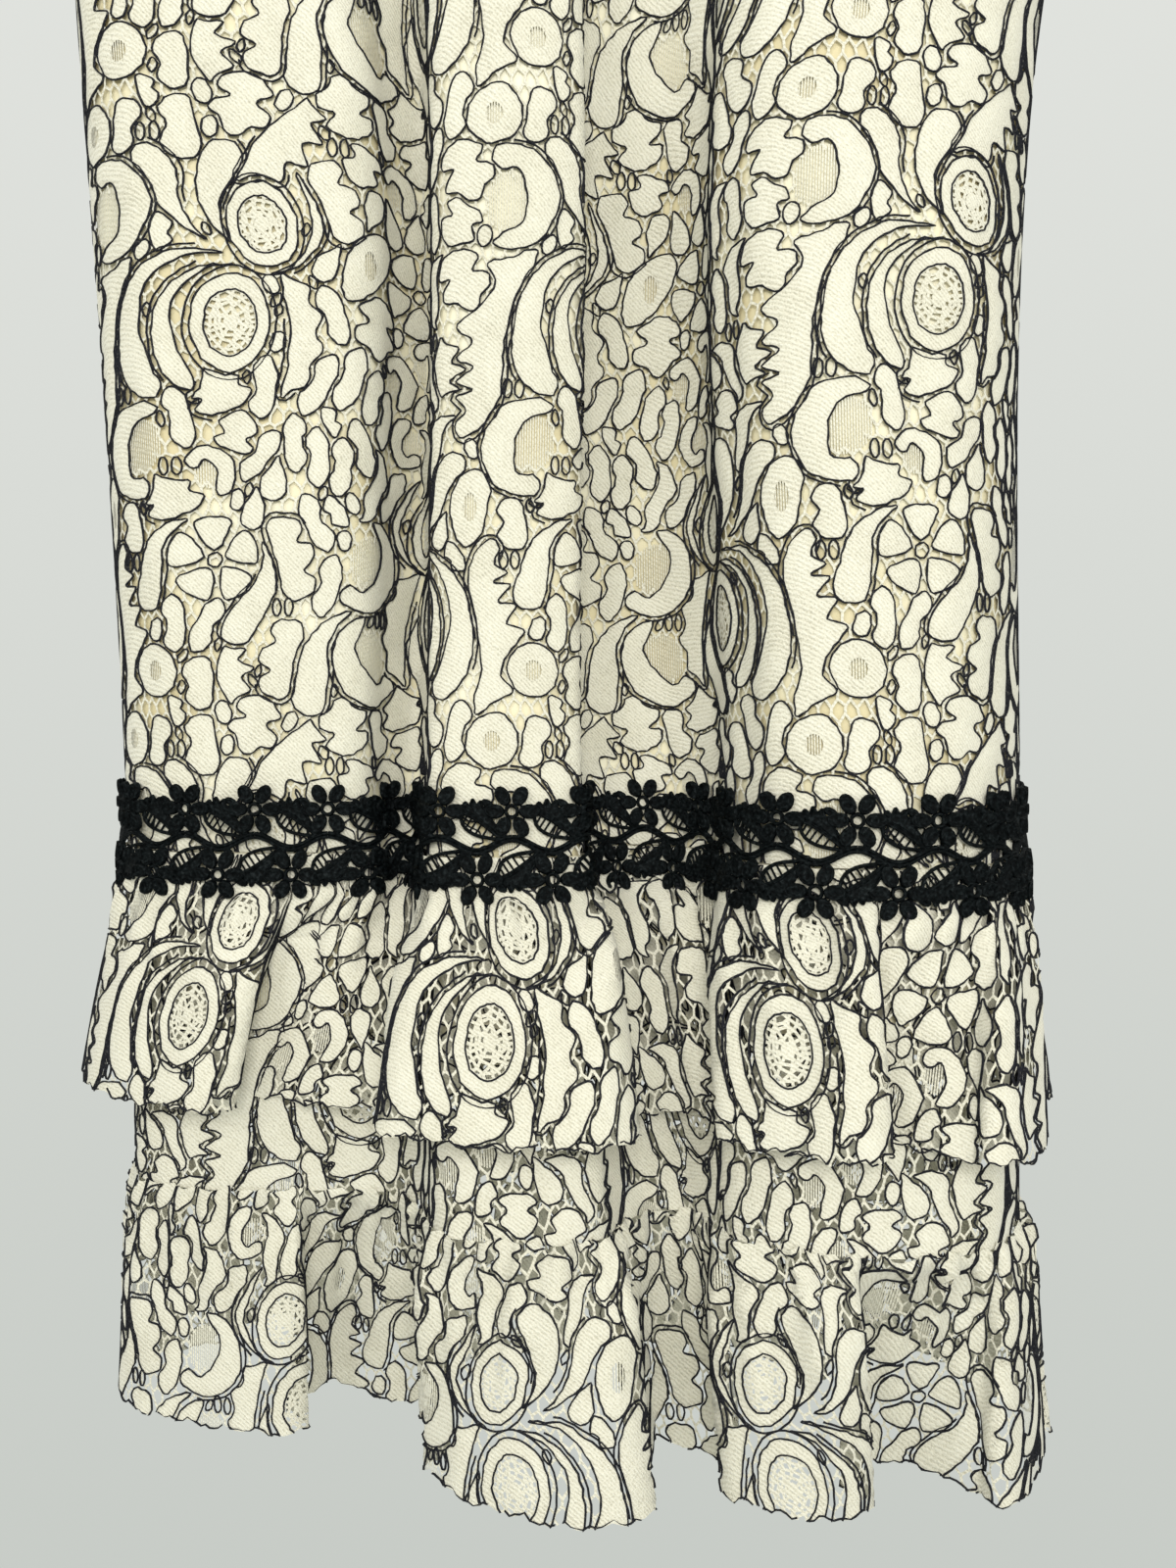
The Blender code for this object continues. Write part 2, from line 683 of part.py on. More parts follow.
def build_lining(collection):
    """A back in one piece; a front with a bodice and three skirt panels."""
    for front in (False, True):
        grids = [panel_rows(LINING_ROWS, lift, front) for lift in (-GAP - LINING_WALL, -GAP)]
        if not front:
            cloth_wall("lining_back", grids[0], grids[1], LINING, collection)
            continue
        waist = len(YOKE_DROPS) + 1 + LINING_ROWS.index(WAIST_Z)
        hem = len(grids[0]) - 1
        seams = [0] + [COLUMNS.index(fold) for fold in LINING_SEAM_FOLDS] + [FRONT_COLUMN]
        cuts = [("bodice", 0, waist, 0, FRONT_COLUMN)]
        for name, left, right in zip(("left", "middle", "right"), seams, seams[1:]):
            cuts.append((name, waist, hem, left, right))
        for name, *cut in cuts:
            inner, outer = (cut_out(grid, *cut) for grid in grids)
            cloth_wall("lining_front_" + name, inner, outer, LINING, collection)


def build_ruffles(collection):
    on_tier = LACE_WALL + TRIM_GAP
    for side, front in (("front", True), ("back", False)):
        for name, levels, flare_z, power, table, wave, attach in (
            ("upper_ruffle_", UPPER_RUFFLE_ROWS, STITCHED_Z, UPPER_FLARE,
             UPPER_HEM, UPPER_BACK_WAVE, on_tier),
            ("lower_ruffle_", LOWER_RUFFLE_ROWS, LOWER_RUFFLE_ROWS[0], LOWER_FLARE,
             LOWER_HEM, LOWER_BACK_WAVE, 0.0),
        ):
            walls = [
                ruffle_rows(levels, flare_z, power, table, wave, distance, attach, front)
                for distance in (0.0, LACE_WALL)
            ]
            cloth_wall(name + side, walls[0], walls[1], LACE, collection)


def split_row(row, counts):
    """A panel's row with each facet cut into the trim's cells."""
    points = []
    for a, b, count in zip(row, row[1:], counts):
        points.extend(a.lerp(b, j / count) for j in range(count))
    return points + [row[-1]]


def trim_row(z, reach, distance, counts, front):
    """Trim points on the panel's own facets, moved out; reach adds the petals."""
    above, below, under = BODY_ROWS[-2], BODY_ROWS[-1], STITCHED_Z
    sewn = side_columns(tier_ring(under, distance), front)
    lines = [split_row(line, counts) for line in (
        flat_row(above, distance, front),
        flat_row(below, distance, front),
        [Vector((p.x, p.y, under)) for p in sewn],
    )]
    row = []
    for k, (high, middle, low) in enumerate(zip(*lines)):
        height = z + reach[k % len(reach)] * PETAL_REACH
        if height >= below:
            row.append(high.lerp(middle, (above - height) / (above - below)))
        else:
            row.append(middle.lerp(low, (below - height) / (below - under)))
    return row


def build_trim(collection):
    on_dress = LACE_WALL + TRIM_GAP
    on_ruffle = on_dress + LACE_WALL + GAP
    for side, front in (("front", True), ("back", False)):
        line = flat_row(SEAM_1_Z, on_dress, front)
        lengths = [(b - a).length for a, b in zip(line, line[1:])]
        counts = [max(1, round(length / TRIM_CELL)) for length in lengths]
        petals = [(0.0,)] * len(TRIM_ROWS)
        petals[0] = TOP_PETALS
        petals[-1] = [-reach for reach in BOTTOM_PETALS]
        inner = []
        outer = []
        for k, z in enumerate(TRIM_ROWS):
            base = on_dress if k < TRIM_ROWS_ON_DRESS else on_ruffle
            inner.append(trim_row(z, petals[k], base, counts, front))
            outer.append(trim_row(z, petals[k], base + TRIM_WALL, counts, front))
        width = sum(counts)
        keep = [[row[k % len(row)] == "#" for k in range(width)] for row in TRIM_REPEAT]
        for row in keep[1:-1]:
            row[0] = True
            row[-1] = True
        cloth_wall("trim_" + side, inner, outer, BLACK_TRIM, collection, keep)


def build_hanger(collection):
    outline = bmesh.new()
    steps = 12
    top = []
    for k in range(-steps, steps + 1):
        x = BAR_HALF_LENGTH * k / steps
        top.append(outline.verts.new((x, 0.0, bar_top(x))))
    bottom = []
    for vert in reversed(top):
        end = abs(vert.co.x) / BAR_HALF_LENGTH
        height = BAR_HEIGHT * (1.0 - BAR_TAPER * end ** 2)
        x = vert.co.x * (1.0 - BAR_END_SLANT)
        bottom.append(outline.verts.new((x, 0.0, vert.co.z - height)))
    face = outline.faces.new(top + bottom)
    bmesh.ops.translate(outline, verts=outline.verts, vec=(0.0, -BAR_HALF_THICKNESS, 0.0))
    swept = bmesh.ops.extrude_face_region(outline, geom=[face])
    back = [item for item in swept["geom"] if isinstance(item, bmesh.types.BMVert)]
    bmesh.ops.translate(outline, verts=back, vec=(0.0, 2.0 * BAR_HALF_THICKNESS, 0.0))
    bmesh.ops.recalc_face_normals(outline, faces=outline.faces)
    mesh = bpy.data.meshes.new("hanger_bar")
    outline.to_mesh(mesh)
    outline.free()
    bar = add_object("hanger_bar", mesh, PALE_WOOD, collection)
    edge = bar.modifiers.new("rounded edge", "BEVEL")
    edge.width = BAR_EDGE
    edge.segments = 1
    edge.limit_method = "ANGLE"
    edge.angle_limit = math.radians(40.0)

    wire = bpy.data.curves.new("hanger_hook", "CURVE")
    wire.dimensions = "3D"
    wire.bevel_depth = HOOK_WIRE
    wire.bevel_resolution = 2
    wire.use_fill_caps = True
    centre_z = -HOOK_RADIUS + HOOK_WIRE
    points = [(0.0, bar_top(0.0) + GAP), (0.0, bar_top(0.0) + HOOK_NECK)]
    for angle in range(-90, 211, 20):
        turn = math.radians(angle)
        points.append((HOOK_RADIUS * math.cos(turn), centre_z + HOOK_RADIUS * math.sin(turn)))
    spline = wire.splines.new("POLY")
    spline.points.add(len(points) - 1)
    for slot, (x, z) in zip(spline.points, points):
        slot.co = (x, 0.0, z, 1.0)
    add_object("hanger_hook", wire, STEEL, collection)


def main():
    clear_scene()
    parts = bpy.data.collections.new("lace_dress")
    bpy.context.scene.collection.children.link(parts)
    build_panels(parts)
    build_lining(parts)
    build_ruffles(parts)
    build_trim(parts)
    build_hanger(parts)


main()
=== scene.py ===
"""The lace dress as it looks: corded lace, lining, guipure trim and gathered ruffles."""
import math
import random
from collections import namedtuple

import bpy
import numpy as np
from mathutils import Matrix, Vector
from mathutils.geometry import delaunay_2d_cdt


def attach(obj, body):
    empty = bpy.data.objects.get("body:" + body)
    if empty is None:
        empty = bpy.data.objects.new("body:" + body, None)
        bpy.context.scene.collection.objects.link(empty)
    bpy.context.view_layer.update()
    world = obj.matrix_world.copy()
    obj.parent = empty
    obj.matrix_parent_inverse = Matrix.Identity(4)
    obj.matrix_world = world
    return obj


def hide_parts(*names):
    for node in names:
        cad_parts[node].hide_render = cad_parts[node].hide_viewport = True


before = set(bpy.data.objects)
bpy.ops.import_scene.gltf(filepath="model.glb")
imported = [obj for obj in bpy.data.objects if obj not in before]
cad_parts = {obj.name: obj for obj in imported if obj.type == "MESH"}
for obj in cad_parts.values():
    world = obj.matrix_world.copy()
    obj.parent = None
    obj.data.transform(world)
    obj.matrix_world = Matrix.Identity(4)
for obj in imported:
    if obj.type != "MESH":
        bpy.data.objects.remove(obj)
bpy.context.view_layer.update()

MM = 0.001

# Heights and sizes of the base surface, as the solids have them
BAR_TOP_Z = -0.064
BUST_Z = -0.340
WAIST_Z = -0.500
UNDERARM_Z = -0.290
SEAM_1_Z = -0.8595
LINING_HEM_Z = -0.930
UPPER_HEM_Z = -0.965
SEAM_2_Z = -1.005
LOWER_HEM_Z = -1.110
STITCHED_Z = -0.878
BUST_HALF_WIDTH = 0.2225
FRONT_BUST_DEPTH = 0.045
BACK_BUST_DEPTH = 0.040
NECK_HALF_WIDTH = 0.100
SHOULDER_TIP_X = 0.175
FRONT_NECK_DROP = 0.090
BACK_NECK_DROP = 0.030
SHOULDER_ROLL = 0.0075
SIDE_TAPER = 0.040
FALL_LENGTH = 0.22
FALL_START = 0.12
ARM_SLOPE = 0.33
ARM_CREST = 0.014
BAR_TO_LINING = 0.0025
UPPER_FLARE = 0.75
LOWER_FLARE = 0.70
SIDE_BLEND = 0.8
NECK_ROUNDNESS = 3
ARMHOLE_POWER = 0.9 / 1.3
BUST_BLEND = 0.060

# The folds round the garment, each by x and y in mm at the waist, the trim and the second seam
FRONT_FOLDS = (
    (-217, 14, -204, 14, -203, 12),  # left side seam
    (-208, -12, -194, -12, -194, -14),  # left round
    (-172, -28, -164, -28, -168, -26),  # left panel outer
    (-125, -30, -123, -31, -126, -28),  # left panel inner
    (-96, -25, -95, -25, -92, -29),  # left panel edge
    (-85, -8, -86, -9, -80, -32),  # left recess side
    (-75, -3, -76, -4, -71, -43),  # left recess floor
    (-68, -14, -68, -20, -65, -57),  # middle fold foot
    (-63, -32, -63, -41, -57, -76),  # middle fold left edge
    (-40, -36, -40, -45, -30, -84),  # middle fold left
    (-16, -36, -16, -45, -8, -86),  # middle fold right
    (-4, -31, -3, -40, 5, -80),  # middle fold right edge
    (-7, -14, -7, -18, 12, -66),  # middle fold undercut
    (8, -3, 9, -5, 23, -54),  # middle recess left
    (34, -4, 34, -6, 41, -51),  # middle recess right
    (52, -16, 53, -24, 50, -65),  # right panel foot
    (58, -38, 61, -54, 57, -79),  # right panel edge
    (78, -50, 76, -72, 75, -90),  # right panel first
    (108, -54, 104, -82, 101, -97),  # right panel second
    (140, -52, 135, -80, 130, -97),  # right panel third
    (166, -42, 158, -66, 153, -90),  # right panel fourth
    (184, -22, 174, -42, 168, -70),  # right round
    (190, 2, 183, -14, 178, -40),  # right side seam
)
BACK_FOLDS = (
    (184, 26, 178, 14, 176, -12),  # right back round
    (160, 38, 155, 30, 155, 10),  # right back outer
    (128, 36, 124, 28, 124, 8),  # right back inner
    (100, 24, 98, 12, 98, -10),  # first back fold foot
    (74, 32, 72, 22, 72, 4),  # first back fold side
    (40, 44, 38, 40, 38, 26),  # first back fold
    (4, 46, 2, 42, 2, 30),  # middle back
    (-28, 34, -28, 26, -28, 10),  # second back fold side
    (-58, 32, -58, 24, -58, 10),  # second back fold foot
    (-92, 46, -90, 44, -90, 36),  # second back fold
    (-128, 50, -124, 50, -126, 44),  # left back inner
    (-162, 44, -156, 44, -160, 40),  # left back outer
    (-194, 36, -184, 36, -186, 34),  # left back round
)

# The hems in front: the fold place, then x and y in mm
UPPER_HEM = (
    (0.0, -231, 18), (0.5, -226, 4), (1.0, -217, -13), (1.5, -203, -29),
    (2.0, -184, -40), (2.5, -162, -47), (3.0, -150, -41), (3.5, -145, -35),
    (4.0, -112, -42), (4.5, -99, -45), (5.0, -90, -49), (6.0, -80, -52),
    (7.0, -77, -64), (8.0, -72, -79), (8.5, -57, -90), (9.0, -36, -96),
    (10.0, -10, -98), (11.0, 8, -94), (11.5, 14, -84), (12.0, 15, -69),
    (12.5, 19, -57), (13.0, 27, -52), (14.0, 41, -53), (14.5, 49, -64),
    (15.0, 53, -78), (16.0, 60, -92), (17.0, 77, -104), (17.5, 92, -109),
    (18.0, 103, -106), (18.5, 108, -98), (19.0, 119, -97), (19.5, 134, -106),
    (20.0, 147, -113), (20.5, 160, -110), (21.0, 171, -95), (21.5, 179, -73),
    (22.0, 185, -44),
)
LOWER_HEM = (
    (0.0, -214, 18), (0.5, -213, 4), (1.0, -206, -9), (1.5, -190, -20),
    (2.0, -171, -27), (2.5, -148, -31), (3.0, -129, -27), (3.5, -125, -8),
    (4.0, -118, 8), (4.5, -104, 2), (5.0, -88, -8), (6.0, -74, -12),
    (6.5, -67, -24), (7.0, -63, -42), (8.0, -58, -64), (8.5, -50, -80),
    (9.0, -32, -92), (10.0, -10, -99), (10.5, 4, -100), (11.0, 16, -91),
    (11.5, 23, -76), (12.0, 26, -54), (12.5, 28, -38), (13.0, 34, -42),
    (14.0, 50, -50), (14.5, 57, -62), (15.0, 60, -76), (16.0, 68, -88),
    (17.0, 85, -94), (17.5, 98, -91), (18.0, 105, -78), (18.5, 109, -60),
    (19.0, 120, -55), (19.5, 138, -62), (20.0, 153, -80), (20.5, 166, -82),
    (21.0, 177, -72), (21.5, 187, -55), (22.0, 194, -36),
)
# The hems behind: how far out they stand, how deep the waves are and how many there are
Wave = namedtuple("Wave", "flare depth waves")
UPPER_BACK_WAVE = Wave(0.020, 0.009, 5)
LOWER_BACK_WAVE = Wave(0.018, 0.011, 5)
WAVE_DRIFT = 0.8
DRIFT_TURN = 5.0

FRONT_LAST = len(FRONT_FOLDS) - 1
FOLD_COUNT = len(FRONT_FOLDS) + len(BACK_FOLDS)
LEVEL_DROPS = (-BUST_Z, -WAIST_Z, -SEAM_1_Z, -SEAM_2_Z)

# How far each layer stands out from the base surface
LINING_LIFT = -0.0012
LACE_LIFT = 0.0003
RUFFLE_LIFT = 0.0020
TRIM_LIFT = 0.0022
TRIM_ON_RUFFLE = 0.0037

# Grids, samples and the smallest things that count
STEP = 0.0020
RUFFLE_STEP = 0.0010
EDGE_MARGIN = 0.0002
SMALLEST_AREA = 1e-9
TINY = 1e-12
BUST_SAMPLES = 161
RING_SAMPLES = 1500
CURVE_SAMPLES = 14


def smooth_step(value):
    value = np.clip(value, 0.0, 1.0)
    return value * value * (3.0 - 2.0 * value)


def unit(vectors):
    return vectors / np.maximum(np.linalg.norm(vectors, axis=-1), TINY)[..., None]


def stacked(*parts):
    return np.stack(parts, axis=1)


def sideways(line, closed=True):
    """Unit vectors across a flat line, to its left."""
    if closed:
        return square_to(np.roll(line, -1, axis=0) - np.roll(line, 1, axis=0))
    return square_to(np.gradient(line, axis=0))


def square_to(ahead):
    """Unit vectors to the left of flat directions."""
    return unit(stacked(-ahead[:, 1], ahead[:, 0]))


def sums(steps):
    """Running totals, from nothing."""
    return np.concatenate([[0.0], np.cumsum(steps)])


def lengths_along(points):
    return sums(np.linalg.norm(np.diff(points, axis=0), axis=1))


def even_steps(start, end, step):
    """Even steps from start to end, each about as long as asked."""
    return np.linspace(start, end, int(round(abs(end - start) / step)) + 1)


def level_row(ring, z):
    return np.column_stack([ring, np.full(len(ring), z)])


def blend_curve(four, knots, t):
    """One stretch of a smooth curve; the knots are arrays or numbers."""
    p0, p1, p2, p3 = four
    k0, k1, k2, k3 = knots
    span = k2 - k1
    straight = (p2 - p1) / span
    with np.errstate(divide="ignore", invalid="ignore"):
        leave = ((p1 - p0) / (k1 - k0) * span + straight * (k1 - k0)) / (k2 - k0)
        arrive = (straight * (k3 - k2) + (p3 - p2) / (k3 - k2) * span) / (k3 - k1)
    leave = np.where(k1 > k0, leave, straight)
    arrive = np.where(k3 > k2, arrive, straight)
    t2 = t * t
    t3 = t2 * t
    return (p1 * (2 * t3 - 3 * t2 + 1) + leave * (span * (t3 - 2 * t2 + t))
            + p2 * (3 * t2 - 2 * t3) + arrive * (span * (t3 - t2)))


def open_curve(points, knots, places):
    """A smooth curve through points at uneven knots, read at many places."""
    points, knots, places = (np.asarray(values, float) for values in (points, knots, places))
    last = len(points) - 1
    k = np.clip(np.searchsorted(knots, places, side="left") - 1, 0, last - 1)
    index = [np.maximum(k - 1, 0), k, k + 1, np.minimum(k + 2, last)]
    t = ((places - knots[k]) / (knots[k + 1] - knots[k]))[:, None]
    return blend_curve([points[i] for i in index], [knots[i][:, None] for i in index], t)


def closed_curve(points, places):
    """A smooth ring through points; a place counts points round it."""
    floor = np.floor(places)
    k = floor.astype(int) % len(points)
    four = [points[(k + shift) % len(points)] for shift in (-1, 0, 1, 2)]
    spans = [np.linalg.norm(four[j + 1] - four[j], axis=1)[:, None] for j in range(3)]
    knots = (-spans[0], np.zeros_like(spans[0]), spans[1], spans[1] + spans[2])
    return blend_curve(four, knots, (places - floor)[:, None])


def crown(x):
    return np.sqrt(np.maximum(0.0, 1.0 - (np.abs(x) / BUST_HALF_WIDTH) ** 4))


def shoulder_line(x):
    return BAR_TOP_Z - ARM_SLOPE * (np.hypot(x, ARM_CREST) - ARM_CREST) + BAR_TO_LINING


def bodice_depth(x, z, depth):
    drop = np.maximum(0.0, shoulder_line(x) - z)
    turn = np.minimum(drop, SHOULDER_ROLL)
    roll = np.sqrt(np.maximum(0.0, 2.0 * SHOULDER_ROLL * turn - turn * turn))
    side = np.sqrt(np.clip((BUST_HALF_WIDTH - np.abs(x)) / SIDE_TAPER, 0.0, 1.0))
    fall = smooth_step(FALL_START + drop / FALL_LENGTH) - smooth_step(FALL_START)
    return roll * side + (depth - SHOULDER_ROLL) * fall * crown(x)


def bust_points(folds, depth, sign):
    """The folds' places spread evenly over one side of the bust line."""
    x = -sign * BUST_HALF_WIDTH * np.cos(np.linspace(0.0, math.pi, BUST_SAMPLES))
    arc = stacked(x, -sign * bodice_depth(x, BUST_Z, depth))
    trim = np.array(folds)[:, 2:4] * MM
    wanted, here = (lengths_along(line) / lengths_along(line)[-1] for line in (trim, arc))
    return np.stack([np.interp(wanted, here, arc[:, i]) for i in (0, 1)], axis=1)


def fold_levels():
    front = bust_points(FRONT_FOLDS, FRONT_BUST_DEPTH, 1.0)
    closing = (FRONT_FOLDS[-1],) + BACK_FOLDS + (FRONT_FOLDS[0],)
    back = bust_points(closing, BACK_BUST_DEPTH, -1.0)
    folds = np.array(FRONT_FOLDS + BACK_FOLDS) * MM
    return [np.concatenate([front, back[1:-1]])] + [folds[:, k:k + 2] for k in (0, 2, 4)]


FOLD_LEVELS = np.stack([level.ravel() for level in fold_levels()])


def base_ring(z, places):
    """The smooth ring through all the folds' places at one height."""
    drop = min(max(-z, LEVEL_DROPS[0]), LEVEL_DROPS[-1])
    return closed_curve(open_curve(FOLD_LEVELS, LEVEL_DROPS, [drop])[0].reshape(-1, 2), places)


def base_row(z, places):
    return level_row(base_ring(z, places), z)


def stood_out(ring, lift):
    """A row of the garment's ring, moved outwards."""
    return ring - sideways(ring, False) * lift


def hem_ring(table, wave, z, places):
    """The smooth hem: the table in front and plain waves behind."""
    table = np.array(table)
    points = table[:, 1:] * MM
    front = open_curve(points, table[:, 0], np.clip(places, 0.0, FRONT_LAST))
    here, after, before = (base_ring(max(z, SEAM_2_Z), places + d) for d in (0.0, 0.05, -0.05))
    through = (places - FRONT_LAST) / (FOLD_COUNT - FRONT_LAST)
    drift = WAVE_DRIFT * np.sin(DRIFT_TURN * through)
    swing = np.cos(2.0 * math.pi * wave.waves * through + drift)
    back = here - square_to(after - before) * (wave.flare + wave.depth * swing)[:, None]
    for end, away in ((points[-1], places - FRONT_LAST), (points[0], FOLD_COUNT - places)):
        back = back + (end - back) * smooth_step(1.0 - away / SIDE_BLEND)[:, None]
    return np.where((places <= FRONT_LAST)[:, None], front, back)


def grid_normals(rows):
    return unit(np.cross(np.gradient(rows, axis=0), np.gradient(rows, axis=1)))


class Cloth:
    """A panel as a fine grid that carries cloth places, across and down, into space."""

    def __init__(self, width, top, bottom, rows, edge=None, hem=None):
        self.width = width
        self.top = top
        self.bottom = bottom
        self.points = rows
        self.normals = grid_normals(rows)
        self.across = width / (rows.shape[1] - 1)
        self.down = (bottom - top) / (rows.shape[0] - 1)
        self.edge = np.full(rows.shape[1], top) if edge is None else edge
        self.hem = np.full(rows.shape[1], bottom) if hem is None else hem

    def edge_at(self, u):
        return np.interp(u, np.arange(len(self.edge)) * self.across, self.edge)

    def hem_at(self, u):
        return np.interp(u, np.arange(len(self.hem)) * self.across, self.hem)

    def at(self, u, v, lift):
        i = np.clip(u / self.across, 0.0, self.points.shape[1] - 1.001)
        j = np.clip((v - self.top) / self.down, 0.0, self.points.shape[0] - 1.001)
        i0 = i.astype(int)
        j0 = j.astype(int)
        s = (i - i0)[:, None]
        t = (j - j0)[:, None]

        def mix(grid):
            high, low = (grid[row, i0] * (1 - s) + grid[row, i0 + 1] * s for row in (j0, j0 + 1))
            return high * (1 - t) + low * t

        return mix(self.points) + unit(mix(self.normals)) * np.asarray(lift)[:, None]

    def area(self):
        return float(np.sum(self.bottom - self.edge[:-1]) * self.across)


def even_places(front, z, ring=None, step=STEP):
    """Fold places an even step of cloth apart, and the width of the cloth."""
    ends = (0.0, FRONT_LAST) if front else (FRONT_LAST, FOLD_COUNT)
    dense = np.linspace(*ends, RING_SAMPLES)
    along = lengths_along(base_ring(z, dense) if ring is None else ring(dense))
    return np.interp(even_steps(0.0, along[-1], step), along, dense), along[-1]


def top_height(x, front):
    """The height of a panel's top edge: neck, shoulder and armhole."""
    drop = FRONT_NECK_DROP if front else BACK_NECK_DROP
    wide = np.abs(x)
    neck = shoulder_line(NECK_HALF_WIDTH) - drop * (1.0 - (wide / NECK_HALF_WIDTH) ** NECK_ROUNDNESS)
    tip = shoulder_line(SHOULDER_TIP_X)
    t = np.clip((wide - SHOULDER_TIP_X) / (BUST_HALF_WIDTH - SHOULDER_TIP_X), 0.0, 1.0)
    arm = tip + (UNDERARM_Z - tip) * t ** ARMHOLE_POWER
    return np.where(wide < NECK_HALF_WIDTH, neck,
                    np.where(wide < SHOULDER_TIP_X, shoulder_line(wide), arm))


def creased(rows, depth):
    """Push a grid of points out by a depth, positive outwards."""
    return rows + grid_normals(rows) * depth[:, :, None]


# Soft creases in the skirt: where across and down (m), how long, wide and deep, and the lean
FRONT_CREASES = (
    (0.050, 0.42, 0.40, 0.010, 0.0022, 0.004),
    (0.082, 0.50, 0.36, 0.012, -0.0020, -0.003),
    (0.118, 0.38, 0.34, 0.009, 0.0016, 0.005),
    (0.205, 0.46, 0.38, 0.008, -0.0016, 0.002),
    (0.232, 0.40, 0.30, 0.007, 0.0014, -0.002),
    (0.318, 0.44, 0.40, 0.008, 0.0018, 0.003),
    (0.400, 0.45, 0.42, 0.010, -0.0018, -0.004),
    (0.438, 0.39, 0.36, 0.011, 0.0020, 0.003),
    (0.470, 0.52, 0.30, 0.009, -0.0016, 0.002),
)
BACK_CREASES = (
    (0.060, 0.44, 0.40, 0.011, 0.0020, -0.004),
    (0.115, 0.40, 0.42, 0.009, -0.0018, 0.003),
    (0.190, 0.48, 0.34, 0.010, 0.0018, 0.002),
    (0.255, 0.42, 0.40, 0.012, -0.0020, -0.003),
    (0.330, 0.46, 0.36, 0.009, 0.0018, 0.004),
    (0.390, 0.41, 0.42, 0.010, -0.0016, 0.002),
)
CREASE_GAIN = 1.5
CREASE_START = 0.3
CREASE_FAR = 1.25
CREASE_END = 0.45


def crease_depth(u, v, creases):
    depth = np.zeros(np.broadcast(u, v).shape)
    for across, top, length, width, height, lean in creases:
        through = (v - top) / length
        side = np.exp(-((u - across - lean * through) / width) ** 2)
        ends = smooth_step(through / CREASE_START) * smooth_step((CREASE_FAR - through) / CREASE_END)
        depth = depth + CREASE_GAIN * height * side * ends
    return depth


def bodice_row(bust, z, front):
    """A row of the bodice, above the bust line."""
    x, y = bust.T
    face, depth = (-1.0, FRONT_BUST_DEPTH) if front else (1.0, BACK_BUST_DEPTH)
    rest = y - face * bodice_depth(x, BUST_Z, depth)
    fade = smooth_step(1.0 - (z - BUST_Z) / BUST_BLEND)
    return level_row(stacked(x, face * bodice_depth(x, z, depth) + rest * fade), z)


def dress_cloth(front):
    places, width = even_places(front, SEAM_1_Z)
    bust = base_ring(BUST_Z, places)
    edge_z = top_height(bust[:, 0], front)
    top = -float(edge_z.max())
    drops = even_steps(top, -SEAM_1_Z, STEP)
    rows = np.array([bodice_row(bust, -drop, front) if -drop > BUST_Z else base_row(-drop, places)
                     for drop in drops])
    u = np.linspace(0.0, width, rows.shape[1])
    depth = crease_depth(u, drops[:, None], FRONT_CREASES if front else BACK_CREASES)
    return Cloth(width, top, -SEAM_1_Z, creased(rows, depth), -edge_z)


def lining_cloth(dress, front):
    """The lining's grid: the dress's, carried on below the first seam."""
    places, width = even_places(front, SEAM_1_Z)
    extra = int(round((SEAM_1_Z - LINING_HEM_Z) / dress.down))
    below = [base_row(SEAM_1_Z - k * dress.down, places) for k in range(1, extra + 1)]
    bottom = -SEAM_1_Z + extra * dress.down
    return Cloth(width, dress.top, bottom, np.array(list(dress.points) + below), dress.edge)


def tier_cloth(front):
    places, width = even_places(front, 0.5 * (SEAM_1_Z + SEAM_2_Z))
    rows = [base_row(z, places) for z in even_steps(SEAM_1_Z, SEAM_2_Z, STEP)]
    return Cloth(width, -SEAM_1_Z, -SEAM_2_Z, np.array(rows))


# Gathers: how far from the ends they stay, and the ranges of their sizes
GATHER_MARGIN = 0.008
GATHER_SIDES = ((0.0012, 0.0020), (0.0035, 0.0065))
GATHER_HEIGHT = (0.0024, 0.0056)
GATHER_LENGTH = (0.035, 0.110)
GATHER_LEAN = (-0.10, 0.10)
GATHER_STEP = (0.009, 0.022)


def gathers(width, seed):
    """Uneven puckers below a seam: across, spread to each side, height, length and lean."""
    draw = random.Random(seed)
    across = GATHER_MARGIN
    while across < width - GATHER_MARGIN:
        sides = [draw.uniform(*span) for span in GATHER_SIDES]
        if draw.random() < 0.5:
            sides.reverse()
        rest = [draw.uniform(*span) for span in (GATHER_HEIGHT, GATHER_LENGTH, GATHER_LEAN)]
        yield across, *sides, *rest
        across += draw.uniform(*GATHER_STEP)


# Pleats of the ruffles: fold place, the crisp side, how far each stands out and spreads
UPPER_PLEATS = (
    (2.95, 1, 0.0095, 0.024), (7.5, -1, 0.0070, 0.016), (11.5, 1, 0.0060, 0.014),
    (15.2, -1, 0.0055, 0.014), (18.1, 1, 0.0085, 0.018), (19.9, -1, 0.0045, 0.012),
    (24.5, 1, 0.0065, 0.018), (28.0, -1, 0.0065, 0.016), (31.0, 1, 0.0075, 0.020),
    (33.6, -1, 0.0050, 0.014),
)
LOWER_PLEATS = (
    (3.05, 1, 0.0080, 0.020), (6.3, -1, 0.0045, 0.010), (7.7, -1, 0.0065, 0.014),
    (11.2, 1, 0.0075, 0.016), (14.9, -1, 0.0060, 0.012), (17.9, 1, 0.0080, 0.016),
    (20.2, -1, 0.0050, 0.012), (25.5, -1, 0.0065, 0.018), (28.8, 1, 0.0070, 0.016),
    (32.0, -1, 0.0065, 0.018), (34.2, 1, 0.0055, 0.014),
)
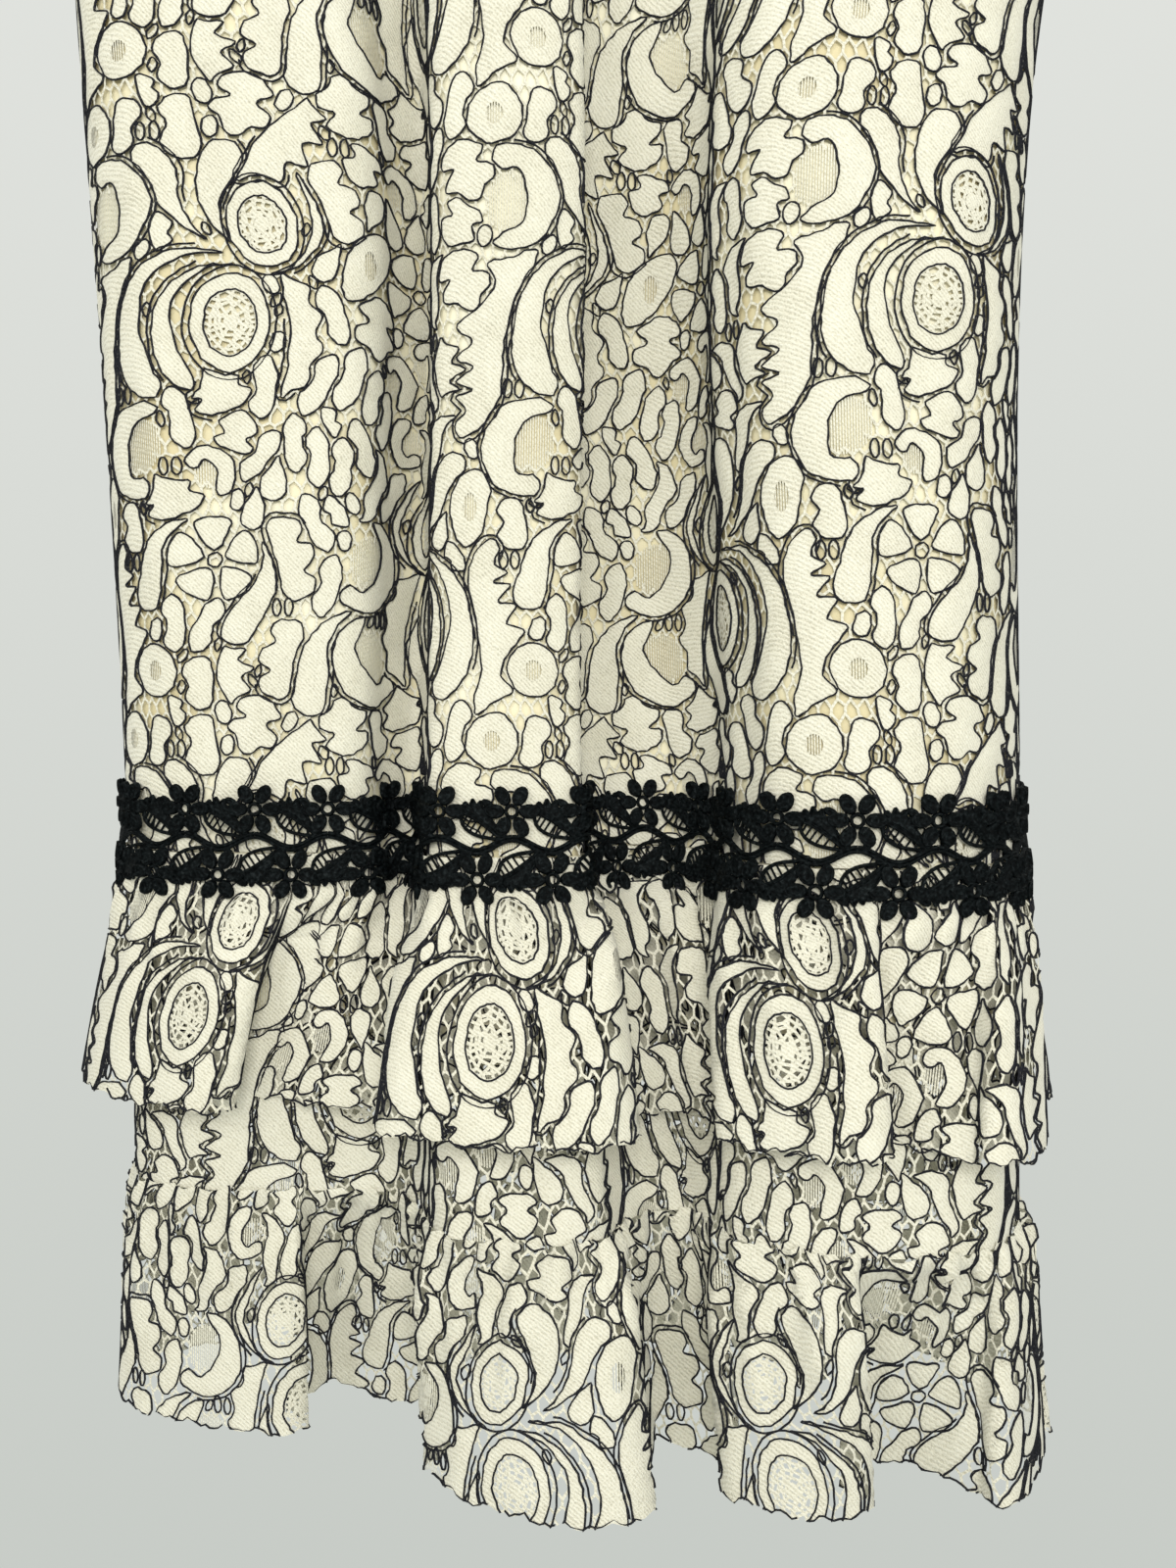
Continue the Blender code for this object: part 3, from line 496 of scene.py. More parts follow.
# How ruffles stand out: pleats, gathers and ragged hems
FREE_BELOW = 0.014
LOWER_HEAD = 0.0028
CRISP_SPREAD = 0.0018
VALLEY = 0.90
VALLEY_EDGE = 0.0040
PLEAT_RISE = 0.036
HEM_SHARE = 0.65
HEAD_BLEND = 0.010
GATHER_START = 0.003
GATHER_SPREAD = 0.03
GATHER_FADE = 1.3
HEAD_SEED = 5
HEM_SHORT = 0.0016
HEM_WAVES = ((0.037, 0.0007), (0.016, 0.0009), (0.0083, 0.0007), (0.0041, 0.0004))


def pleat_depth(u, fall, places, pleats, free):
    depth = np.zeros((len(fall), len(u)))
    rise = smooth_step((fall - free) / PLEAT_RISE)[:, None]
    for place, crisp, height, spread in pleats:
        if places[0] < place < places[-1]:
            away = (u - np.interp(place, places, u)) * crisp
            beyond = np.maximum(away, 0.0)
            valley = VALLEY * np.exp(-(beyond / spread) ** 2) * smooth_step(beyond / VALLEY_EDGE)
            side = np.exp(-(away / np.where(away > 0.0, CRISP_SPREAD, spread)) ** 2) - valley
            depth = depth + height * rise * side[None, :]
    return depth


def ragged(u, seed):
    """How much a raw hem falls short, in a few uneven waves."""
    draw = random.Random(seed)
    short = np.full(len(u), HEM_SHORT)
    for length, size in HEM_WAVES:
        short = short + size * np.sin(2.0 * math.pi * (u / length + draw.random()))
    return np.maximum(short, 0.0)


def by_length(rows):
    """The same surface with its columns an even length of cloth apart."""
    steps = np.linalg.norm(np.diff(rows, axis=1), axis=2)
    along = sums(steps[len(rows) // 3:].mean(axis=0))
    place = np.interp(even_steps(0.0, along[-1], RUFFLE_STEP), along, np.arange(len(along)))
    low = np.minimum(place.astype(int), len(along) - 2)
    share = (place - low)[None, :, None]
    return rows[:, low] * (1.0 - share) + rows[:, low + 1] * share, float(along[-1])


def ruffle_cloth(front, seam_z, hem_z, flare_z, power, table, wave, lift, head, seed, pleats):
    """A gathered ruffle from its head, above its seam, to its waving hem."""
    free = FREE_BELOW if head == 0.0 else -head

    def middle(q):
        return (1.0 - HEM_SHARE) * base_ring(seam_z, q) + HEM_SHARE * hem_ring(table, wave, hem_z, q)

    places, width = even_places(front, hem_z, middle, RUFFLE_STEP)
    hems = stood_out(hem_ring(table, wave, hem_z, places), LACE_LIFT)
    heights = even_steps(seam_z + head, hem_z, STEP)
    rows = []
    for z in heights:
        top = stood_out(base_ring(z, places), lift)
        share = max(0.0, (flare_z - z) / (flare_z - hem_z)) ** power
        share = share * float(smooth_step((seam_z - z) / HEAD_BLEND))
        rows.append(level_row(top + (hems - top) * share, z))
    rows = np.array(rows)
    u = np.linspace(0.0, width, rows.shape[1])
    fall = seam_z - heights
    depth = pleat_depth(u, fall, places, pleats, free)
    for across, left, right, height, length, lean in gathers(width, seed):
        away = u[None, :] - across - lean * fall[:, None]
        half = np.where(away < 0.0, left, right) + GATHER_SPREAD * fall[:, None]
        along = (smooth_step((fall - free + GATHER_START) / HEAD_BLEND)
                 * smooth_step(GATHER_FADE * (1.0 - fall / length)))
        depth = depth + height * np.exp(-(away / half) ** 2) * along[:, None]
    rows, width = by_length(creased(rows, depth))
    u = np.linspace(0.0, width, rows.shape[1])
    edge = -seam_z - head + (ragged(u, seed + HEAD_SEED) if head > 0.0 else 0.0 * u)
    return Cloth(width, -seam_z - head, -hem_z, rows, edge, -hem_z - ragged(u, seed))


# The lace's repeat, drawn in mm: its size and its motifs
TILE = np.array([200.0, 250.0])
# A spine with widths along its left and right, or the same on both, and for some a hollow
# filled by upright threads, given by its middle and half sizes
Motif = namedtuple("Motif", "spine left right hollow", defaults=(None, None))
MOTIFS = {
    "long jagged leaf": Motif(
        ((0, 0), (6, 18), (4, 38), (-3, 58), (-1, 76)),
        ((0.05, 2.5), (0.2, 5.0), (0.5, 7.0), (0.8, 6.0), (0.95, 3.5)),
        ((0.03, 2.5), (0.10, 4.0), (0.20, 10.0), (0.24, 3.5), (0.36, 5.0), (0.47, 12.5),
         (0.51, 5.5), (0.58, 11.0), (0.615, 4.5), (0.69, 11.5), (0.73, 4.5), (0.82, 10.0),
         (0.86, 4.0), (0.96, 4.0)),
    ),
    "jagged leaf": Motif(
        ((0, 0), (3, 12), (2, 27), (-4, 42)),
        ((0.06, 2.0), (0.22, 5.5), (0.45, 8.5), (0.68, 8.0), (0.88, 4.0)),
        ((0.06, 3.0), (0.17, 9.0), (0.24, 4.0), (0.36, 11.5), (0.43, 5.0), (0.56, 11.5),
         (0.63, 4.5), (0.76, 9.5), (0.84, 3.0)),
    ),
    "small jagged leaf": Motif(
        ((0, 0), (2, 10), (0, 23)),
        ((0.08, 1.5), (0.28, 4.8), (0.55, 6.5), (0.85, 3.5)),
        ((0.1, 2.5), (0.22, 7.5), (0.32, 3.0), (0.5, 9.0), (0.6, 3.5), (0.78, 7.5), (0.88, 2.5)),
    ),
    "scalloped leaf": Motif(
        ((0, 0), (2, 12), (0, 25), (-3, 34)),
        ((0.08, 4.0), (0.4, 5.5), (0.7, 5.0), (0.93, 3.5)),
        ((0.04, 3.5), (0.13, 7.5), (0.24, 8.0), (0.31, 3.8), (0.41, 8.5), (0.52, 9.0),
         (0.59, 4.0), (0.70, 8.0), (0.82, 7.5), (0.94, 3.5)),
    ),
    "lobed leaf": Motif(
        ((0, -12), (1, 0), (0, 13)),
        ((0.02, 3.5), (0.12, 8.0), (0.26, 9.5), (0.40, 4.5), (0.54, 9.5), (0.69, 11.0),
         (0.81, 5.5), (0.95, 3.0)),
        ((0.03, 3.5), (0.15, 7.0), (0.30, 10.0), (0.44, 5.0), (0.60, 10.5), (0.74, 10.0),
         (0.84, 4.5), (0.96, 2.5)),
    ),
    "fan": Motif(
        ((0, 0), (0.5, 10), (-0.5, 20)),
        ((0.1, 1.6), (0.32, 6.0), (0.46, 10.5), (0.58, 7.0), (0.76, 11.5), (0.93, 8.0)),
        ((0.1, 1.6), (0.30, 5.0), (0.44, 10.0), (0.56, 8.0), (0.74, 12.5), (0.90, 9.0)),
    ),
    "wing": Motif(
        ((0, 0), (5, 10), (4, 23), (-2, 34), (-3, 42)),
        ((0.12, 1.6), (0.35, 4.0), (0.65, 6.5), (0.92, 5.0)),
        ((0.12, 1.4), (0.35, 3.5), (0.65, 6.0), (0.92, 5.5)),
    ),
    "comma": Motif(
        ((13, 1), (5, -3), (-5, 3), (-9, 15), (-4, 27), (6, 32)),
        ((0.03, 3.0), (0.25, 4.5), (0.5, 6.5), (0.75, 5.0), (0.96, 2.0)),
        ((0.03, 4.0), (0.25, 4.5), (0.5, 6.5), (0.75, 4.0), (0.96, 2.0)),
        ((4.0, 15.0, 9.0, 11.5)),
    ),
    "kidney": Motif(
        ((4, 0), (-2, 5), (-2, 15), (4, 20)),
        ((0.06, 4.2), (0.30, 2.4), (0.5, 1.0), (0.70, 2.4), (0.94, 4.2)),
        ((0.06, 4.0), (0.35, 6.0), (0.65, 6.2), (0.94, 4.5)),
    ),
    "bay leaf": Motif(
        ((2, -11), (-1, 0), (3, 11)),
        ((0.05, 3.4), (0.28, 5.4), (0.46, 2.2), (0.64, 6.0), (0.86, 5.0), (0.97, 2.0)),
        ((0.04, 3.0), (0.25, 5.5), (0.5, 6.6), (0.75, 5.8), (0.96, 2.6)),
    ),
    "pod": Motif(
        ((0, -11), (0, 12)),
        ((0.06, 5.0), (0.25, 9.5), (0.55, 10.5), (0.8, 9.0), (0.96, 4.0)),
        ((0.05, 5.0), (0.22, 9.0), (0.5, 10.8), (0.78, 8.5), (0.95, 4.0)),
    ),
    "long pod": Motif(
        ((0, -17), (1.5, 0), (0, 17)),
        ((0.05, 4.0), (0.2, 7.5), (0.5, 8.4), (0.8, 6.5), (0.95, 3.0)),
        ((0.05, 4.0), (0.25, 8.0), (0.55, 8.4), (0.8, 6.0), (0.95, 3.0)),
    ),
    "tulip": Motif(
        ((0, -8), (0, 8)),
        ((0.0, 5.5), (0.18, 8.0), (0.36, 4.0), (0.58, 7.5), (0.8, 5.5), (0.97, 2.0)),
        ((0.0, 5.0), (0.15, 7.5), (0.34, 4.5), (0.60, 8.0), (0.8, 5.0), (0.97, 2.0)),
    ),
    "s leaf": Motif(
        ((5, -15), (-3, -8), (2, 1), (-2, 9), (4, 15)),
        ((0.08, 1.6), (0.3, 4.6), (0.6, 5.2), (0.92, 1.8)),
        ((0.08, 1.6), (0.3, 5.2), (0.6, 4.6), (0.92, 1.8)),
    ),
    "hook": Motif(
        ((7, -3), (1, -7), (-5, -1), (-3, 8), (3, 12)),
        ((0.04, 2.4), (0.3, 2.8), (0.6, 3.4), (0.95, 1.8)),
        ((0.04, 2.4), (0.3, 3.2), (0.6, 3.8), (0.95, 1.8)),
        ((3.0, 2.5, 4.6, 6.0)),
    ),
    "drop": Motif(
        ((0, -9), (1, 8)),
        ((0.18, 1.6), (0.55, 4.4), (0.9, 4.0)), ((0.18, 1.6), (0.55, 4.6), (0.9, 3.8)),
    ),
    "bean": Motif(
        ((3, -5), (-1, 0), (3, 6)),
        ((0.02, 2.6), (0.5, 0.9), (0.98, 2.6)), ((0.05, 3.2), (0.5, 4.4), (0.95, 3.0)),
    ),
    "oval": Motif(
        ((0, -7), (0.5, 6.5)),
        ((0.08, 3.0), (0.5, 5.0), (0.92, 3.2)), ((0.08, 3.0), (0.5, 5.2), (0.92, 3.0)),
    ),
    "round": Motif(
        ((0, -4.5), (0, 5)),
        ((0.05, 3.2), (0.5, 4.8), (0.94, 3.4)), ((0.06, 3.0), (0.5, 5.0), (0.94, 3.2)),
    ),
    "loops": Motif(
        ((0, -3.2), (0, 3.2)),
        ((0.1, 3.0), (0.5, 3.8), (0.9, 3.0)),
    ),
    "small oval": Motif(
        ((0, -4.4), (0.4, 4.4)),
        ((0.1, 1.8), (0.5, 2.8), (0.9, 1.8)), ((0.1, 1.8), (0.5, 3.0), (0.9, 1.8)),
    ),
    "ring": Motif(
        ((0, -2.9), (0, 2.9)),
        ((0.15, 0.9), (0.5, 1.5), (0.85, 0.9)),
    ),
}

# Two eyes with petals that flow from the pinch between them: centre, half sizes, turn
EYES = (((0, 0), (16.0, 22.0), 0.10), ((14, -43), (13.5, 19.5), -0.25))
GROUP_SCALE = 0.90
EYE_HOLE = 0.68
EYE_HALO = 1.17
GROUP = (
    Motif(((2, -26), (-15, -23), (-26, -5), (-25, 15), (-16, 30)),
          ((0.12, 0.9), (0.35, 2.0), (0.6, 3.6), (0.85, 4.4), (0.97, 2.5)),
          ((0.12, 0.9), (0.35, 2.0), (0.6, 3.4), (0.85, 4.6), (0.97, 2.5))),
    Motif(((-2, -31), (-24, -30), (-39, -10), (-40, 14), (-30, 33)),
          ((0.15, 1.2), (0.35, 3.2), (0.6, 6.2), (0.85, 8.2), (0.97, 4.5)),
          ((0.15, 1.2), (0.35, 3.0), (0.6, 5.0), (0.85, 6.0), (0.97, 4.0))),
    Motif(((1, -36), (-6, -48), (-4, -64), (4, -80)),
          ((0.12, 1.0), (0.4, 3.2), (0.7, 6.4), (0.95, 5.6)),
          ((0.12, 1.0), (0.4, 3.4), (0.7, 7.0), (0.95, 6.0))),
    Motif(((-8, -37), (-20, -49), (-23, -66), (-33, -78)),
          ((0.12, 1.2), (0.4, 3.8), (0.7, 5.6), (0.95, 4.2)),
          ((0.12, 1.2), (0.4, 3.4), (0.7, 6.0), (0.95, 4.4))),
    Motif(((17, -21), (33, -29), (36, -47), (28, -66)),
          ((0.15, 0.8), (0.5, 2.2), (0.85, 1.2))),
    Motif(((21, -21), (26, -6), (27, 13), (21, 34)),
          ((0.12, 1.5), (0.4, 3.0), (0.75, 3.0)),
          ((0.1, 4.0), (0.2, 8.5), (0.30, 6.0), (0.43, 11.0), (0.53, 7.5), (0.65, 10.5),
           (0.75, 6.5), (0.86, 7.5), (0.94, 2.5))),
)
# Where each group lies, its turn, and whether it is flipped
GROUP_PLACES = (((60.0, 112.0), 0.0, False), ((160.0, 232.0), 0.12, True))
# Small flowers: places and turns
FLOWER_PETALS = 5
FLOWER_HEART = 2.8
FLOWERS = (((140.0, 92.0), 0.3), ((52.0, 208.0), 0.9))
PETAL = Motif(
    ((4.2, 0), (17.5, 0)),
    ((0.1, 2.2), (0.45, 5.6), (0.85, 7.2), (0.98, 3.4)),
    ((0.1, 2.2), (0.45, 5.6), (0.85, 6.8), (0.98, 3.4)),
)
# The kinds packed between them and how many of each, in this order
SCATTER = (
    ("long jagged leaf", 2), ("comma", 4), ("jagged leaf", 1), ("wing", 4), ("scalloped leaf", 3),
    ("long pod", 2), ("fan", 3), ("lobed leaf", 5), ("pod", 2), ("kidney", 12), ("loops", 3),
    ("small jagged leaf", 2), ("bay leaf", 9), ("s leaf", 6), ("tulip", 6), ("kidney", 12),
    ("hook", 7), ("loops", 4), ("drop", 10), ("tulip", 8), ("bay leaf", 8), ("oval", 12),
    ("bean", 14), ("round", 8), ("loops", 3), ("small oval", 14), ("ring", 26),
)
# Kinds that may lie close to others, and kinds with a second cord
CLOSE_KINDS = ("loops", "ring", "small oval", "round", "bean", "oval", "drop")
ECHO_KINDS = ("petal", "long jagged leaf", "jagged leaf", "wing", "comma", "scalloped leaf", "fan")
# How motifs are packed and their cords drawn
MOTIF_SCALE = (0.94, 1.16)
UPRIGHT_LEANS = (0.0, 0.22, -0.22, 0.5, -0.5, math.pi, math.pi - 0.3, math.pi + 0.3)
LEAN_PLAY = 0.12
PACK_SEED = 7
PACK_TRIES = 6
SNUG_REACH = 4
CORD_SPACING = 2.12
BEND_SHARE = 0.20
STRAIGHT_SHARE = 0.40
FEWEST_POINTS = 10
CORD_WIDTH = 0.86
CORD_WOBBLE = 0.34
ECHO_AWAY = 1.8
THREAD_STEP = 1.0
PACK_CELL = 0.8
Shape = namedtuple("Shape", "kind outline hollow")


def sample_closed(control, spacing):
    """Points on the smooth closed curve through control, closer together where it bends."""
    control = np.asarray(control, float)
    dense = closed_curve(control, np.linspace(0.0, len(control), len(control) * CURVE_SAMPLES + 1))
    steps = np.diff(dense, axis=0)
    length = np.linalg.norm(steps, axis=1)
    heading = np.arctan2(steps[:, 1], steps[:, 0])
    turn = np.abs(np.angle(np.exp(1j * (np.roll(heading, -1) - np.roll(heading, 1)))))
    bend = turn / (np.roll(length, -1) + np.roll(length, 1) + 1e-6)
    bend = sum(np.roll(bend, shift) for shift in range(-3, 4)) / 7.0
    along = sums(length * np.sqrt(bend / BEND_SHARE + STRAIGHT_SHARE))
    count = max(FEWEST_POINTS, int(round(along[-1] / spacing)))
    wanted = np.linspace(0.0, along[-1], count + 1)[:-1]
    return np.stack([np.interp(wanted, along, dense[:, i]) for i in (0, 1)], axis=1)


def turned(points, angle, flip=False):
    x, y = np.asarray(points, float).T
    x = -x if flip else x
    c, s = math.cos(angle), math.sin(angle)
    return stacked(x * c - y * s, x * s + y * c)


def motif_outline(motif, scale=1.0):
    """The even outline of a motif, out along its right side and back by its left."""
    spine = np.array(motif.spine, float)
    knots = np.linspace(0.0, 1.0, len(spine))

    def side(widths, sign):
        shares, reach = np.array(widths).T
        middle, after, before = (open_curve(spine, knots, shares + d) for d in (0.0, 0.01, -0.01))
        return middle - square_to(after - before) * sign * reach[:, None]

    right = side(motif.right or motif.left, 1.0)
    line = [spine[:1], right, spine[-1:], side(motif.left, -1.0)[::-1]]
    return sample_closed(np.concatenate(line) * scale, CORD_SPACING)


def inside(polygon, x, y):
    """Which places lie inside a closed polygon."""
    result = np.zeros(np.broadcast(x, y).shape, bool)
    for (x0, y0), (x1, y1) in zip(polygon, np.roll(polygon, -1, axis=0)):
        if y0 != y1:
            crosses = (y0 > y) != (y1 > y)
            result ^= crosses & (x < (x1 - x0) * (y - y0) / (y1 - y0) + x0)
    return result


def round_turn(count):
    return np.linspace(0.0, 2.0 * math.pi, count, endpoint=False)


def on_circle(turn):
    return stacked(np.cos(turn), np.sin(turn))


def ellipse(centre, half_width, half_height, count, angle=0.0):
    return turned(on_circle(round_turn(count)) * (half_width, half_height), angle) + centre


class Chart:
    """The repeat: placed motifs, and a grid of what they cover."""

    def __init__(self):
        self.shape = tuple(int(round(size / PACK_CELL)) for size in TILE[::-1])
        self.cell = TILE / self.shape[::-1]
        self.full = np.zeros(self.shape, bool)
        self.shapes = []

    def mask(self, outline):
        """The cells that an outline covers, wrapped round the repeat."""
        low = np.floor(outline.min(axis=0) / self.cell).astype(int) - 1
        high = np.ceil(outline.max(axis=0) / self.cell).astype(int) + 1
        i, j = (np.arange(low[k], high[k]) for k in (0, 1))
        x = (i[None, :] + 0.5) * self.cell[0]
        y = (j[:, None] + 0.5) * self.cell[1]
        rows, columns = np.nonzero(inside(outline, x, y))
        mask = np.zeros(self.shape, bool)
        mask[j[rows] % self.shape[0], i[columns] % self.shape[1]] = True
        return mask

    def footprint(self, shape):
        mask = self.mask(shape.outline)
        return mask if shape.hollow is None else mask | self.mask(shape.hollow)

    def marked(self, mask, places):
        """Whether a mask covers each place."""
        i, j = np.floor(places / self.cell).astype(int).T
        return mask[j % self.shape[0], i % self.shape[1]]

    def place(self, shape):
        self.shapes.append(shape)
        mask = widened(self.footprint(shape))
        self.full |= mask if shape.kind in CLOSE_KINDS else widened(mask)

    def best_spot(self, kind, draw):
        """The snuggest free place for a motif among a few turns of it."""
        near = blurred(self.full.astype(float), SNUG_REACH)
        field = np.fft.fft2(self.full + 1j * near)
        best = None
        for _ in range(PACK_TRIES):
            angle = draw.choice(UPRIGHT_LEANS) + draw.uniform(-LEAN_PLAY, LEAN_PLAY)
            shape = made_shape(kind, MOTIFS[kind], angle, draw.random() < 0.5,
                               draw.uniform(*MOTIF_SCALE), (0.0, 0.0))
            mask = self.footprint(shape)
            found = np.fft.ifft2(field * np.conj(np.fft.fft2(mask)))
            snug = np.where(found.real < 0.5, found.imag / mask.sum(), -1.0)
            spot = np.unravel_index(np.argmax(snug), self.shape)
            if snug[spot] >= 0.0 and (best is None or snug[spot] > best[0]):
                best = (snug[spot], moved(shape, np.array(spot[::-1]) * self.cell))
        return None if best is None else best[1]


def made_shape(kind, motif, angle, flip, scale, place):
    """A motif turned, flipped and scaled, at its place."""
    outline = turned(motif_outline(motif, scale), angle, flip) + place
    hollow = None
    if motif.hollow is not None:
        x, y, half_width, half_height = motif.hollow
        hollow = turned(ellipse((x, y), half_width, half_height, 14) * scale, angle, flip) + place
    return Shape(kind, outline, hollow)


def moved(shape, shift):
    hollow = None if shape.hollow is None else shape.hollow + shift
    return Shape(shape.kind, shape.outline + shift, hollow)


def beside(values):
    """A wrapped grid moved by one cell each way."""
    return [np.roll(values, away, axis) for axis in (0, 1) for away in (1, -1)]


def widened(mask):
    return np.logical_or.reduce([mask] + beside(mask))


def blurred(values, rounds):
    for _ in range(rounds):
        down, up, right, left = beside(values)
        values = (values + down + up + right + left) / 5.0
    return values


def draw_chart():
    """Fill the repeat: groups at their listed places, then the rest as snugly as they go."""
    chart = Chart()
    for centre, angle, flip in GROUP_PLACES:
        for eye_centre, half, turn in EYES:
            outline = ellipse(eye_centre, *half, 16, turn) * GROUP_SCALE
            outline = turned(sample_closed(outline, CORD_SPACING), angle, flip) + centre
            chart.place(Shape("eye", outline, None))
        for petal in GROUP:
            chart.place(made_shape("petal", petal, angle, flip, GROUP_SCALE, centre))
    for centre, angle in FLOWERS:
        for k in range(FLOWER_PETALS):
            turn = angle + 2.0 * math.pi * k / FLOWER_PETALS
            chart.place(made_shape("flower petal", PETAL, turn, False, 1.0, centre))
        chart.place(Shape("ring", ellipse(centre, FLOWER_HEART, FLOWER_HEART, 10), None))
    draw = random.Random(PACK_SEED)
    for kind, count in SCATTER:
        for _ in range(count):
            shape = chart.best_spot(kind, draw)
            if shape is None:
                break
            chart.place(shape)
    return chart


# A flat piece: its points in mm, how high each is lifted off the cloth, and its triangles
Flat = namedtuple("Flat", "points lifts faces")


def joined(flats):
    starts = np.cumsum([0] + [len(flat.points) for flat in flats])
    return Flat(np.concatenate([flat.points for flat in flats]),
                np.concatenate([flat.lifts for flat in flats]),
                np.concatenate([flat.faces + start for flat, start in zip(flats, starts)]))


def strip(a, b, here, after):
    """Triangles between two rows of points that start at a and b."""
    return [stacked(a + here, b + here, b + after), stacked(a + here, b + after, a + after)]


def ridge(line, width, low, high, closed=True):
    """A cord lying on the cloth: two sides that meet in a ridge, rounded by shading."""
    line = np.asarray(line, float)
    count = len(line)
    half = sideways(line, closed) * (0.5 * np.broadcast_to(width, (count,)))[:, None]
    here = np.arange(count if closed else count - 1)
    after = (here + 1) % count
    faces = strip(0, count, here, after) + strip(count, 2 * count, here, after)
    return Flat(np.concatenate([line + half, line, line - half]),
                np.repeat([low, high, low], count), np.concatenate(faces))


def reach_from(points, edge):
    """How far each point is from the nearest of an edge's points."""
    return np.linalg.norm(points[:, None] - edge[None], axis=2).min(axis=1)


def doubled_area(points, faces):
    """Twice the area of each triangle over the cloth, with the sign of its turn."""
    a, b, c = (points[faces[:, k], :2] for k in range(3))
    ab = b - a
    ac = c - a
    return ab[:, 0] * ac[:, 1] - ab[:, 1] * ac[:, 0]


def pad(outline, hole, spacing, low, crown_height):
    """A felted motif: its outline filled with triangles and raised in the middle."""
    start = outline.min(axis=0) + 0.5 * spacing
    x, y = (np.arange(start[k], outline[:, k].max(), spacing) for k in (0, 1))
    gx, gy = np.meshgrid(x, y)
    gx = gx + 0.5 * spacing * (np.arange(len(y)) % 2)[:, None]
    keep = inside(outline, gx, gy)
    if hole is not None:
        keep &= ~inside(hole, gx, gy)
    grid = stacked(gx[keep], gy[keep])
    loops = [outline] if hole is None else [outline, hole]
    edge_points = np.concatenate(loops)
    if len(grid):
        grid = grid[reach_from(grid, edge_points) > PAD_MARGIN * spacing]
    edges = []
    for loop in loops:
        first, n = len(edges), len(loop)
        edges += [(first + k, first + (k + 1) % n) for k in range(n)]
    points = np.concatenate([edge_points, grid])
    made = delaunay_2d_cdt([Vector(p) for p in points], edges, [], 1, 1e-4)
    points = np.array([tuple(p) for p in made[0]])
    faces = np.array([tuple(f) for f in made[2] if len(f) == 3])
    if hole is not None:
        faces = faces[~inside(hole, *points[faces].mean(axis=1).T)]
    wrong = doubled_area(points, faces) > 0
    faces[wrong] = faces[wrong][:, ::-1]
    rise = np.sqrt(np.clip(reach_from(points, edge_points) / CROWN_REACH, 0.0, 1.0))
    return Flat(points, low + crown_height * rise, faces)


def strands(starts, ends, width, lift):
    """Straight flat threads, two triangles each."""
    across = square_to(ends - starts) * (0.5 * width)
    points = np.concatenate([starts + across, starts - across, ends - across, ends + across])
    n = len(starts)
    k = np.arange(n)
    faces = [stacked(k, (far + 1) * n + k, far * n + k) for far in (1, 2)]
    return Flat(points, np.full(len(points), lift), np.concatenate(faces))


# The net, the pads and the cords, in mm
NET_WIDTH = 4.8
NET_HEIGHT = 6.0
NET_UPRIGHT = 0.52
NET_JITTER = (0.55, 1.6 * 0.55)
NET_THREAD = 1.02
NET_LIFT = 0.25
FINE_THREAD = 0.55
PAD_LIFT = 0.45
PAD_CROWN = 0.55
PAD_SPACING = 4.6
PAD_MARGIN = 0.45
CROWN_REACH = 4.0
CORD_LOW = 0.35
CORD_HIGH = 1.20
STITCH_SEED = 11
CORD_PLAY = (0.75, 1.25)
FINE_WOBBLE = 0.2
HOLE_WOBBLE = 0.22
ECHO_PARTS = ((0.54, 0.62), (0.86, 0.97))
LOOPS_AWAY = 2.3
LOOP_HALVES = (1.7, 3.7)
# Rings of threads in an eye's centre: share of the way out and number of points
FELT_RINGS = ((0.0, 1), (0.22, 6), (0.42, 11), (0.61, 16), (0.80, 21), (1.0, 26))
FELT_JITTER = 0.85
FELT_THREAD = 1.2
FELT_LIFT = 0.40
HEART_HALVES = (2.8, 3.4)
HEART_SPACING = 3.0
HEART_CROWN = 0.35
# Half sizes of the small windows
WINDOWS = {"pod": (3.4, 4.2), "long pod": (2.8, 6.0)}
WINDOW_STEP = 1.05
WINDOW_LIFT = 0.42


def net_edges(columns, rows, draw):
    """The threads of a tall uneven honeycomb that fills the repeat."""
    width, height = TILE / (columns, rows)
    starts, ends = [], []
    shape = (rows + 1, columns + 2, 2)
    foot, head = (np.array([draw.uniform(-1.0, 1.0) for _ in range(math.prod(shape))]).reshape(shape)
                  for _ in (0, 1))

    def place(jitter, row, column, rise):
        x = (column + 0.5 * (row % 2)) * width
        return (x, row * height + rise) + jitter[row % rows, column % columns] * NET_JITTER

    for row in range(rows):
        for column in range(columns):
            high = place(head, row, column, NET_UPRIGHT * height)
            side = column - 1 + row % 2
            starts += [place(foot, row, column, 0.0), high, high]
            ends += [high, place(foot, row + 1, side, 0.0), place(foot, row + 1, side + 1, 0.0)]
    return np.array(starts), np.array(ends)


def wobble(outline, draw, size):
    """Move a cord's points a little in and out, as a stitched cord runs."""
    quick, slow = (np.array([draw.uniform(-1.0, 1.0) for _ in outline]) for _ in (0, 1))
    slow = (slow + np.roll(slow, 1) + np.roll(slow, 2)) * 0.6
    steps = np.hypot(*(np.roll(outline, -1, axis=0) - outline).T)
    near = np.minimum(np.minimum(steps, np.roll(steps, 1)) / CORD_SPACING, 1.0)
    return outline + sideways(outline) * ((quick + slow) * near * size)[:, None]


def echo(outline, draw):
    """A second cord along the smooth side of a motif."""
    start, end = (int(len(outline) * draw.uniform(*part)) for part in ECHO_PARTS)
    ahead = np.roll(outline, -1, axis=0)
    turn = np.sum(outline[:, 0] * ahead[:, 1] - outline[:, 1] * ahead[:, 0])
    line = outline - sideways(outline) * math.copysign(ECHO_AWAY, turn)
    return wobble(line, draw, 0.8 * CORD_WOBBLE)[start:end]


